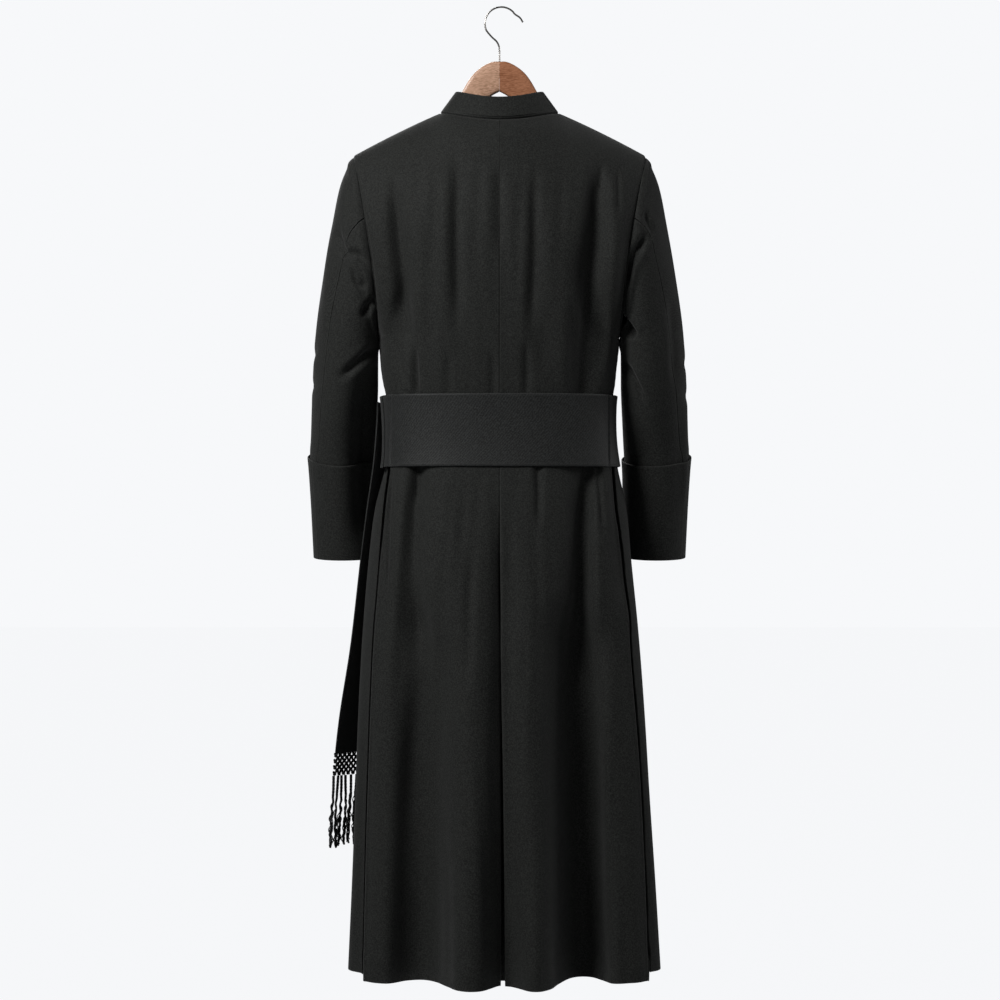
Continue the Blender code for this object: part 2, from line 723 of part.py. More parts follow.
def build_sleeves():
    front_seam = tuple(angle - 360 for angle in FORE_SEAM)
    for side, sideways in (("left", 1.0), ("right", -1.0)):
        for name, first, last in (("sleeve_under_", HIND_SEAM, FORE_SEAM),
                                  ("sleeve_top_", front_seam, HIND_SEAM)):

            def surface(across, down, first=first, last=last):
                begin = radians(mix(*first, down) + SEAM_TURN)
                end = radians(mix(*last, down) - SEAM_TURN)
                point = sleeve_point(mix(begin, end, across), down)
                point.x *= sideways
                return point

            middle = surface(0.5, 0.5)
            centre = ring_at(SLEEVE, 0.5)
            hub = Vector((sideways * (centre.outer_x + centre.inner_x) / 2,
                          centre.middle, middle.z))
            grid_wall(name + side, "wool", surface, even(len(SLEEVE)), middle - hub, columns=8)


def cuff_ring(row):
    """The sleeve's ring at a cuff's row, let out all round."""
    last = len(SLEEVE) - 1
    ring = ring_at(SLEEVE, mix(CUFF_LIP_RING, last, row.down) / last)
    return Ring(ring.outer_x + row.out, ring.outer_z - row.lower,
                ring.inner_x - row.out, ring.inner_z - row.lower,
                ring.middle, ring.depth + row.out, ring.drop)


def build_cuffs():
    rings = [cuff_ring(row) for row in CUFF]
    for side, sideways in (("left", 1.0), ("right", -1.0)):

        def surface(angle, down):
            point = on_ring(ring_at(rings, down), angle)
            point.x *= sideways
            return point

        tube_wall("cuff_" + side, "wool", surface, even(len(CUFF) - 1), CLOTH, columns=20)


# ------------------------------------------------------------- the collar

def collar_point(across, down):
    angle = mix(-pi + COLLAR_GAP, pi - COLLAR_GAP, across)
    low = neck_point(angle)
    turned = cos(angle)
    low.z += COLLAR_LIFT * (1.0 + ease(-turned * 2.0))
    end, reach = ("back", COLLAR_TOP_BACK) if turned >= 0 else ("front", -COLLAR_TOP_FRONT)
    top = Vector((COLLAR_TOP_HALF * sin(angle), reach * turned,
                  mix(COLLAR_TOP["side"], COLLAR_TOP[end], turned ** 2)))
    return top.lerp(low, down)


def build_collar():
    grid_wall("collar", "wool", collar_point, even(2), Vector((0, 1, 0)), columns=14,
              thickness=COLLAR_CLOTH, level_foot=True)


# ------------------------------------------------------------- the fascia

def waist_ring(angle, height, proud):
    """Round the body at the waist: 0 at the wearer's left, pi/2 at the back."""
    turn = cos(angle)
    half = along(SECTIONS, height, "left" if turn >= 0 else "right")
    depth = along(SECTIONS, height, "back" if sin(angle) >= 0 else "front")
    return Vector(((half + proud) * signed_power(turn, 2 / ROUNDNESS),
                   (depth + proud) * signed_power(sin(angle), 2 / ROUNDNESS), height))


def build_fascia():
    def band(angle, down):
        return waist_ring(angle, mix(BAND_TOP, BAND_BOTTOM, down), BAND_PROUD)

    tube_wall("fascia_band", "sash", band, even(3), BAND_CLOTH, columns=44)

    def end(across, down):
        height = mix(BAND_TOP - END_DROP[0], BAND_BOTTOM - END_DROP[1], down)
        return waist_ring(mix(*END_SPAN, across), height, END_PROUD)

    grid_wall("fascia_end", "sash", end, even(3), Vector((1, 0, 0)), columns=8,
              thickness=BAND_CLOTH)
    for fall, rows in FALLS.items():
        build_fall(fall, rows)


def fall_point(rows, across, height):
    rear = Vector((along(rows, height, "rear_x"), along(rows, height, "rear_y"), height))
    front = Vector((along(rows, height, "front_x"), along(rows, height, "front_y"), height))
    point = rear.lerp(front, across)
    bow = along(rows, height, "bow") * sin(across * pi)
    return point + bow * FALL_FACING


def build_fall(fall, rows):
    for name, finish, top, low, steps in (
            ("fall_", "sash", FALL_TOP, NET_TOP + SEAM / 2, 8),
            ("net_", "fringe", NET_TOP - SEAM / 2, FRINGE_TOP + SEAM / 2, 1),
            ("fringe_", "fringe", FRINGE_TOP - SEAM / 2, FRINGE_END, 2)):

        def surface(across, down, top=top, low=low):
            return fall_point(rows, across, mix(top, low, down))

        grid_wall(name + fall, finish, surface, even(steps), Vector((1, -1, 0)), columns=4,
                  thickness=BAND_CLOTH)


# ------------------------------------------------------------ the buttons

def build_buttons():
    """Covered buttons down the left front's edge; the fascia hides some."""
    number = 0
    for i in range(BUTTON_COUNT):
        height = BUTTON_FIRST - i * BUTTON_PITCH
        if BAND_TOP + BUTTON_CLEAR > height > BAND_BOTTOM - BUTTON_CLEAR:
            continue
        number += 1
        front = front_depth(height)
        bpy.ops.mesh.primitive_uv_sphere_add(segments=8, ring_count=4, radius=1.0)
        button = bpy.context.object
        button.name = button.data.name = f"button_{number:02d}"
        button.rotation_euler.x = pi / 2
        button.scale = (BUTTON_RADIUS, BUTTON_RADIUS, BUTTON_RISE)
        button.location = (0.0, -front - BUTTON_RISE - SEAM, height)
        button.data.materials.append(material("wool"))
        button.data.polygons.foreach_set("use_smooth", [True] * len(button.data.polygons))


def front_depth(height):
    """How far the left front stands out where a button lies."""
    reach = 0.0
    for step in (-1, 0, 1):
        near = height + step * BUTTON_RADIUS
        for across in (0.0, 0.04, 0.08, 0.12):
            if near > ARMHOLE_MIDDLE:
                spread = (near - ARMHOLE_MIDDLE) / (NECK_FRONT - ARMHOLE_MIDDLE)
                down = acos(min(1.0, max(0.0, spread))) / (pi / 2)
            elif near > UNDERARM.z:
                down = 2 / pi * acos((near - ARMHOLE_MIDDLE) / ARMHOLE_HALF)
            else:
                down = down_at(near)
            reach = max(reach, -body_point("front_left", across, down).y)
    return reach


# ------------------------------------------------------------- the hanger

def hanger_half(side):
    """Sections of rounded outline across the arm, the first at the joint."""
    sideways = 1.0 if side == "left" else -1.0
    turns = 12
    loops = []
    for cut in HANGER:
        middle, half = (cut.top + cut.underside) / 2, (cut.top - cut.underside) / 2
        thick = HANGER_TIP_THICKNESS if cut == HANGER[-1] else HANGER_HALF_THICKNESS
        loop = []
        for t in range(turns):
            angle = 2 * pi * (t + 0.5) / turns
            loop.append(Vector((sideways * max(cut.across, SEAM / 2),
                                thick * signed_power(cos(angle), HANGER_FACE),
                                middle + half * signed_power(sin(angle), HANGER_RIM))))
        loops.append(loop)
    vertices = [p for loop in loops for p in loop]
    faces = [tuple(range(turns)),
             tuple(reversed(range((len(loops) - 1) * turns, len(loops) * turns)))]
    for s in range(len(loops) - 1):
        for t in range(turns):
            a, b = s * turns + t, s * turns + (t + 1) % turns
            faces.append((a, a + turns, b + turns, b))
    finish = "light_wood" if side == "left" else "dark_wood"
    half = add_object("hanger_" + side, vertices, faces, finish, smooth=False)
    face_outward(half)
    bore = half.modifiers.new("hook_hole", "BOOLEAN")
    bore.operation = "DIFFERENCE"
    bore.solver = "EXACT"
    bore.object = bpy.data.objects["hook_hole"]


def hook_hole():
    """The cutter for the hole that takes the hook's shank."""
    middle = HOOK_SHANK_END - HOLE_SPARE + HOLE_LENGTH / 2
    bpy.ops.mesh.primitive_cylinder_add(vertices=16, radius=HOOK_WIRE + SEAM,
                                        depth=HOLE_LENGTH, location=(0.0, 0.0, middle))
    cutter = bpy.context.object
    cutter.name = "hook_hole"
    cutter.hide_render = True
    cutter.display_type = "WIRE"


def build_hook():
    """The wire: a flared tip, a loop that turns by degrees, and a shank."""
    path = list(HOOK_TIP)
    for turn in HOOK_TURNS:
        around = Vector((cos(radians(turn)), 0.0, sin(radians(turn))))
        path.append(HOOK_CENTRE + HOOK_LOOP * around)
    path += HOOK_NECK
    line = bpy.data.curves.new("hanger_hook", "CURVE")
    line.dimensions = "3D"
    line.bevel_depth = HOOK_WIRE
    line.bevel_resolution = 2
    line.use_fill_caps = True
    spline = line.splines.new("POLY")
    spline.points.add(len(path) - 1)
    for point, place in zip(spline.points, path):
        point.co = (*place, 1.0)
    line.materials.append(material("steel"))
    hook = bpy.data.objects.new("hanger_hook", line)
    bpy.context.scene.collection.objects.link(hook)


def build_hanger():
    hook_hole()
    hanger_half("left")
    hanger_half("right")
    build_hook()


def main():
    clear_scene()
    build_body()
    build_pleats()
    build_sleeves()
    build_cuffs()
    build_collar()
    build_fascia()
    build_buttons()
    build_hanger()


main()
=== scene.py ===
"""The look of a black cassock and its fascia, hanging on a wooden hanger.

Metres, +Z up.  The garment faces -Y, the wearer's left is +X, and the origin
is where a rail carries the hook.  Each cloth piece is a thin shell on the
surface of the solid that it stands for, drawn on a finer grid, with creases,
rolled seam edges and a weave of its own.
"""

from collections import namedtuple
from math import pi, radians

import bmesh
import bpy
import numpy as np
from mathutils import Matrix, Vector
from mathutils.bvhtree import BVHTree

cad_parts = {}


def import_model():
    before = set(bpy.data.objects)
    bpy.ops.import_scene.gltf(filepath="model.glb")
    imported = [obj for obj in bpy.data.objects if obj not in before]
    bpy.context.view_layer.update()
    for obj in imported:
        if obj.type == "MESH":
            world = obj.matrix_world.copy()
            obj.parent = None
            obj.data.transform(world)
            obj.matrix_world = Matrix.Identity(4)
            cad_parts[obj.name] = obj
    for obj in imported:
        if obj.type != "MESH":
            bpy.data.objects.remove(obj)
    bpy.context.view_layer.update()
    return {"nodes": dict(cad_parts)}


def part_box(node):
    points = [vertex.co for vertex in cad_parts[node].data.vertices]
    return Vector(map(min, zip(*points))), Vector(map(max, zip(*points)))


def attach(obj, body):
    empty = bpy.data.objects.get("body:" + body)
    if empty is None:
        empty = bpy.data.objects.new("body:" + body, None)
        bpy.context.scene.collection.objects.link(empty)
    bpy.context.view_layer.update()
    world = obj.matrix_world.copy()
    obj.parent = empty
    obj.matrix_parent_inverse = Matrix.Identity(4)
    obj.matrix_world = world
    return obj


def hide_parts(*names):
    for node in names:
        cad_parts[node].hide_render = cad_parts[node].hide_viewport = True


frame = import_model()

# ------------------------------------------------ the garment's own sizes

CLOTH = 0.0016            # thickness of the worsted cloth
BAND_CLOTH = 0.0024       # the fascia is lined, so it is thicker
COLLAR_CLOTH = 0.0022
SEAM = 0.00012            # clear gap where two sewn edges meet
ROUNDNESS = 2.4           # exponent of the body's outline, 2 is an ellipse

NECK_BACK = -0.186
NECK_FRONT = -0.212
NECK_SIDE = (0.0945, -0.004, -0.1675)
SHOULDER_TIP = (0.2345, 0.0, -0.238)
SHOULDER_ARCH = 0.009     # makes the shoulder steeper toward its tip
UNDERARM = (0.1915, 0.0, -0.530)
ARMHOLE_DEPTH = 0.078     # half the armhole's width from front to back
ARMHOLE_BOW = 0.008       # how far its seam bows toward the middle
HEM = -1.538
SOFT_ROUNDS = 90          # rounds of smoothing at the yoke's softest row
SOFT_COLUMNS = 101        # points a yoke row is smoothed on
NECK_SHARE = 0.4          # share of a body panel's width that ends at the neck

# The body's outline at each height: half widths to the wearer's left and
# right, and how far its middle stands out at the back and at the front.
Section = namedtuple("Section", "height left right back front")
SECTIONS = [Section(*row) for row in (
    (-0.186, 0.200, 0.200, 0.060, 0.064),
    (-0.212, 0.205, 0.205, 0.083, 0.075),
    (-0.260, 0.210, 0.210, 0.103, 0.100),
    (-0.320, 0.212, 0.212, 0.116, 0.114),
    (-0.384, 0.213, 0.213, 0.120, 0.120),
    (-0.450, 0.200, 0.200, 0.119, 0.121),
    (-0.530, 0.1915, 0.1910, 0.114, 0.120),
    (-0.600, 0.1870, 0.1865, 0.106, 0.118),
    (-0.640, 0.1820, 0.1825, 0.102, 0.117),
    (-0.690, 0.1800, 0.1830, 0.101, 0.117),
    (-0.735, 0.1830, 0.1890, 0.105, 0.119),
    (-0.800, 0.1990, 0.2030, 0.116, 0.126),
    (-0.880, 0.2090, 0.2105, 0.127, 0.135),
    (-1.000, 0.2190, 0.2225, 0.138, 0.146),
    (-1.130, 0.2262, 0.2325, 0.145, 0.154),
    (-1.260, 0.2310, 0.2405, 0.149, 0.160),
    (-1.400, 0.2365, 0.2500, 0.150, 0.165),
    (HEM, 0.2427, 0.2584, 0.150, 0.168),
)]

# Distance from the middle to the panels' outer edges, below the underarm.
Edge = namedtuple("Edge", "height back_left back_right front_left front_right")
EDGES = [Edge(*row) for row in (
    (-0.530, 0.1915, 0.1910, 0.1915, 0.1910),
    (-0.600, 0.1850, 0.1845, 0.1850, 0.1845),
    (-0.640, 0.1760, 0.1770, 0.1760, 0.1770),
    (-0.690, 0.1720, 0.1750, 0.1720, 0.1750),
    (-0.735, 0.1730, 0.1770, 0.1730, 0.1770),
    (-0.840, 0.1827, 0.1870, 0.1840, 0.1880),
    (-0.920, 0.1890, 0.1935, 0.1900, 0.1945),
    (-1.050, 0.1958, 0.2010, 0.1960, 0.2010),
    (-1.180, 0.2022, 0.2105, 0.2010, 0.2090),
    (-1.320, 0.2070, 0.2190, 0.2050, 0.2160),
    (HEM, 0.2110, 0.2282, 0.2090, 0.2240),
)]

# Broad troughs (and lobes, with a negative depth) that run down a panel.
# "start" and "end" are heights, "from_", "to" and "width" are fractions across
# the panel, and the depths are at the start, the middle and the end.
Fold = namedtuple("Fold", "panel start end from_ to width upper middle lower")
FOLDS = [Fold(*row) for row in (
    ("back_left", -0.26, -0.66, 0.66, 0.58, 0.09, 0.0, 0.010, 0.003),
    ("back_left", -0.66, -1.12, 0.61, 0.66, 0.09, 0.004, 0.008, 0.0),
    ("back_left", -0.98, HEM, 0.50, 0.446, 0.17, 0.0, 0.022, 0.043),
    ("back_left", -0.80, HEM, 0.16, 0.15, 0.15, 0.0, -0.012, -0.027),
    ("back_left", -0.76, HEM, 0.0, 0.0, 0.07, 0.0, 0.010, 0.026),
    ("back_right", -0.24, -0.66, 0.590, 0.57, 0.12, 0.0, 0.015, 0.004),
    ("back_right", -0.66, -0.98, 0.63, 0.48, 0.14, 0.004, 0.020, 0.034),
    ("back_right", -0.98, HEM, 0.48, 0.416, 0.14, 0.034, 0.050, 0.066),
    ("back_right", -0.80, HEM, 0.16, 0.14, 0.15, 0.0, -0.012, -0.027),
    ("back_right", -0.76, HEM, 0.0, 0.0, 0.07, 0.0, 0.014, 0.034),
    ("front_left", -0.76, HEM, 0.46, 0.40, 0.15, 0.0, 0.022, 0.040),
    ("front_left", -0.90, HEM, 0.74, 0.70, 0.10, 0.0, -0.004, -0.010),
    ("front_right", -0.76, HEM, 0.52, 0.47, 0.16, 0.0, 0.026, 0.046),
    ("front_right", -0.30, -0.62, 0.60, 0.54, 0.11, 0.0, 0.010, 0.0),
    ("front_left", -0.28, -0.62, 0.62, 0.56, 0.10, 0.0, 0.008, 0.0),
)]

FOLDS_FROM = 0.15         # the folds begin this far down to the armhole's middle
FOLDS_OVER = 0.5          # and are whole after this much more

PLEAT_DRIFT = {"left": -0.0016, "right": -0.0105}   # where the pleat's edges end
PLEAT_HALF = 0.047        # half the width of the pleat's underlay
PLEAT_DEPTH = 0.030       # how far it sits inside at the hem
PLEAT_TOP = -0.705        # the pleats start under the fascia
PLEAT_CLEAR = 0.0066      # between the backs' cloth and the underlay's edges
PLEAT_BEND = 0.8          # below 1 the underlay is flatter in its middle
PLEAT_OPENS = 1.4         # above 1 it is fully sunk before it reaches the hem
SIDE_TUCK = 0.036         # depth of the side pleats at the hem
SIDE_OPENS = 1.1
SIDE_HIND_SHARE = 0.6     # the tuck toward the back is this share as deep
SIDE_CLEAR = 0.0016       # between a panel's cloth and the side pleat behind it
SIDE_REACH = 0.004        # how far the side pleat goes in behind a panel's edge
SIDE_WIDTH = 0.226        # across a side pleat's cloth
SLOT_WIDTH = 0.0032       # of the side pleat's dark groove beside the back's edge
SLOT_DEPTH = {"top": 0.014, "left": 0.006, "right": 0.014}
SLOT_CHANGE = (-0.90, 0.1)      # its lower depth gives way to the top's from here
FRONT_LAP = 0.012         # each front passes the middle line by this
LAP_SINK = 0.0034         # the right front sinks this far under the left one
LAP_START = -0.040        # it starts to sink here, across the body,
LAP_RUN = 0.022           # and is down after this distance

# Rings of a sleeve: outer and inner points, the ring's middle and half depth
# from front to back, and how far its back drops as the sleeve leans forward.
Ring = namedtuple("Ring", "outer_x outer_z inner_x inner_z middle depth drop")
SLEEVE = [Ring(*row) for row in (
    (0.2545, -0.2850, 0.1938, -0.540, -0.0020, 0.0775, 0.000),
    (0.2680, -0.3500, 0.1942, -0.556, -0.0050, 0.0765, 0.000),
    (0.2815, -0.4250, 0.1946, -0.580, -0.0100, 0.0740, 0.002),
    (0.2945, -0.5130, 0.1952, -0.615, -0.0180, 0.0705, 0.004),
    (0.3015, -0.6040, 0.1980, -0.660, -0.0340, 0.0665, 0.008),
    (0.3058, -0.6820, 0.2010, -0.700, -0.0550, 0.0630, 0.012),
    (0.3078, -0.7180, 0.2025, -0.724, -0.0620, 0.0610, 0.014),
    (0.3042, -0.7980, 0.2040, -0.800, -0.0735, 0.0590, 0.009),
    (0.3008, -0.8770, 0.2070, -0.877, -0.0830, 0.0570, 0.004),
)]
SLEEVE_START = 0.0014     # where the sleeve's cloth starts, clear of the armhole
CUFF_LIP_RING = 6         # the sleeve's ring that the cuff's lip turns up to
# How far down the sleeve below that ring, how far out, and how far lower.
CuffRow = namedtuple("CuffRow", "down out lower")
CUFF = [CuffRow(*row) for row in (
    (0.00, 0.0044, -0.002),
    (0.16, 0.0034, 0.000),
    (0.50, 0.0030, 0.000),
    (1.00, 0.0030, 0.004),
)]
HIND_SEAM = (74.0, 34.0)  # degrees round the sleeve, at the armhole and the cuff
FORE_SEAM = (220.0, 235.0)
SEAM_TURN = 0.25          # degrees left clear on each side of a sleeve's seams

COLLAR_TOP = {"side": -0.1345, "back": -0.150, "front": -0.172}
COLLAR_TOP_HALF = 0.0700
COLLAR_TOP_BACK = 0.052
COLLAR_TOP_FRONT = -0.058
COLLAR_GAP = radians(22.5)      # half its opening at the throat
COLLAR_LIFT = 0.0003            # its foot stands clear of the neck's rim

BAND_TOP = -0.621
BAND_BOTTOM = -0.734
BAND_MIDDLE = (BAND_TOP + BAND_BOTTOM) / 2
BAND_PROUD = 0.0042             # how far the band stands off the body's outline
END_PROUD = BAND_PROUD + 0.0034     # the band's lapped end lies on top of it
END_SPAN = (radians(-46.0), radians(12.0))
END_DROP = (0.001, 0.002)       # how much lower its top and bottom edges are
FALL_FACING = (0.8, -0.5, 0.0)  # the way a fall's middle stands out
FALL_TOP = -0.630
NET_TOP = -1.194
FRINGE_TOP = -1.230
FRINGE_END = -1.349
NET_SLANT = 0.0055        # a fall's front edge hangs this much lower

# A fall's two edges in plan at each height, and how far its middle stands out.
Strip = namedtuple("Strip", "height rear_x rear_y front_x front_y bow")
FALLS = {
    "rear": [Strip(*row) for row in (
        (-0.630, 0.1962, 0.002, 0.1660, -0.088, 0.0115),
        (-0.667, 0.1975, 0.002, 0.1665, -0.090, 0.0115),
        (-0.730, 0.2030, 0.002, 0.1690, -0.092, 0.008),
        (-0.810, 0.2145, 0.000, 0.1750, -0.095, 0.005),
        (-0.885, 0.2240, -0.004, 0.1810, -0.100, 0.004),
        (-1.020, 0.2400, -0.010, 0.1900, -0.105, 0.004),
        (-1.140, 0.2590, -0.016, 0.1970, -0.108, 0.004),
        (FRINGE_TOP, 0.2680, -0.020, 0.2010, -0.109, 0.004),
        (FRINGE_END, 0.2715, -0.024, 0.2040, -0.111, 0.004),
    )],
    "front": [Strip(*row) for row in (
        (-0.630, 0.1580, -0.098, 0.0850, -0.1270, 0.0115),
        (-0.667, 0.1590, -0.099, 0.0855, -0.1290, 0.0115),
        (-0.730, 0.1610, -0.101, 0.0870, -0.1340, 0.008),
        (-0.810, 0.1660, -0.106, 0.0910, -0.1420, 0.005),
        (-0.885, 0.1700, -0.112, 0.0950, -0.1500, 0.004),
        (-1.020, 0.1770, -0.120, 0.1010, -0.1640, 0.004),
        (-1.140, 0.1840, -0.126, 0.1050, -0.1730, 0.004),
        (FRINGE_TOP, 0.1880, -0.130, 0.1080, -0.1800, 0.004),
        (FRINGE_END, 0.1910, -0.133, 0.1100, -0.1870, 0.004),
    )],
}

HOOK_WIRE = 0.0014
HOOK_LOOP = 0.0263
HOOK_CENTRE = (-0.003, 0.0, -0.0248)
HOOK_TURNS = (146, -37)   # degrees round the loop
HOOK_TIP = ((-0.0374, 0.0, -0.0229), (-0.0325, 0.0, -0.0155))
HOOK_NECK = ((0.0118, 0.0, -0.047), (0.0048, 0.0, -0.0535), (0.001, 0.0, -0.061),
             (0.0, 0.0, -0.07), (0.0, 0.0, -0.09), (0.0, 0.0, -0.112))
WIRE_SIDES = 14
WOOD_SIDES = 36
HANGER_HALF_THICKNESS = 0.0068
HANGER_TIP_SHARE = 0.55   # the arm thins to this share of that
HANGER_TIP = (0.206, 0.213)     # between these distances from its middle
# A wooden arm's top and underside at distances from the hanger's middle.
Slice = namedtuple("Slice", "across top underside")
HANGER = [Slice(*row) for row in (
    (0.0000, -0.0860, -0.1336),
    (0.0110, -0.0864, -0.1395),
    (0.0254, -0.0928, -0.1490),
    (0.0398, -0.1040, -0.1580),
    (0.0498, -0.1170, -0.1650),
    (0.0590, -0.1330, -0.1720),
    (0.0680, -0.1500, -0.1785),
    (0.0800, -0.1680, -0.1870),
    (0.0960, -0.1790, -0.1970),
    (0.1260, -0.1920, -0.2120),
    (0.1600, -0.2075, -0.2280),
    (0.1880, -0.2225, -0.2420),
    (0.2080, -0.2345, -0.2510),
    (0.2130, -0.2390, -0.2490),
)]

# ---------------------------------------------------------------- creases

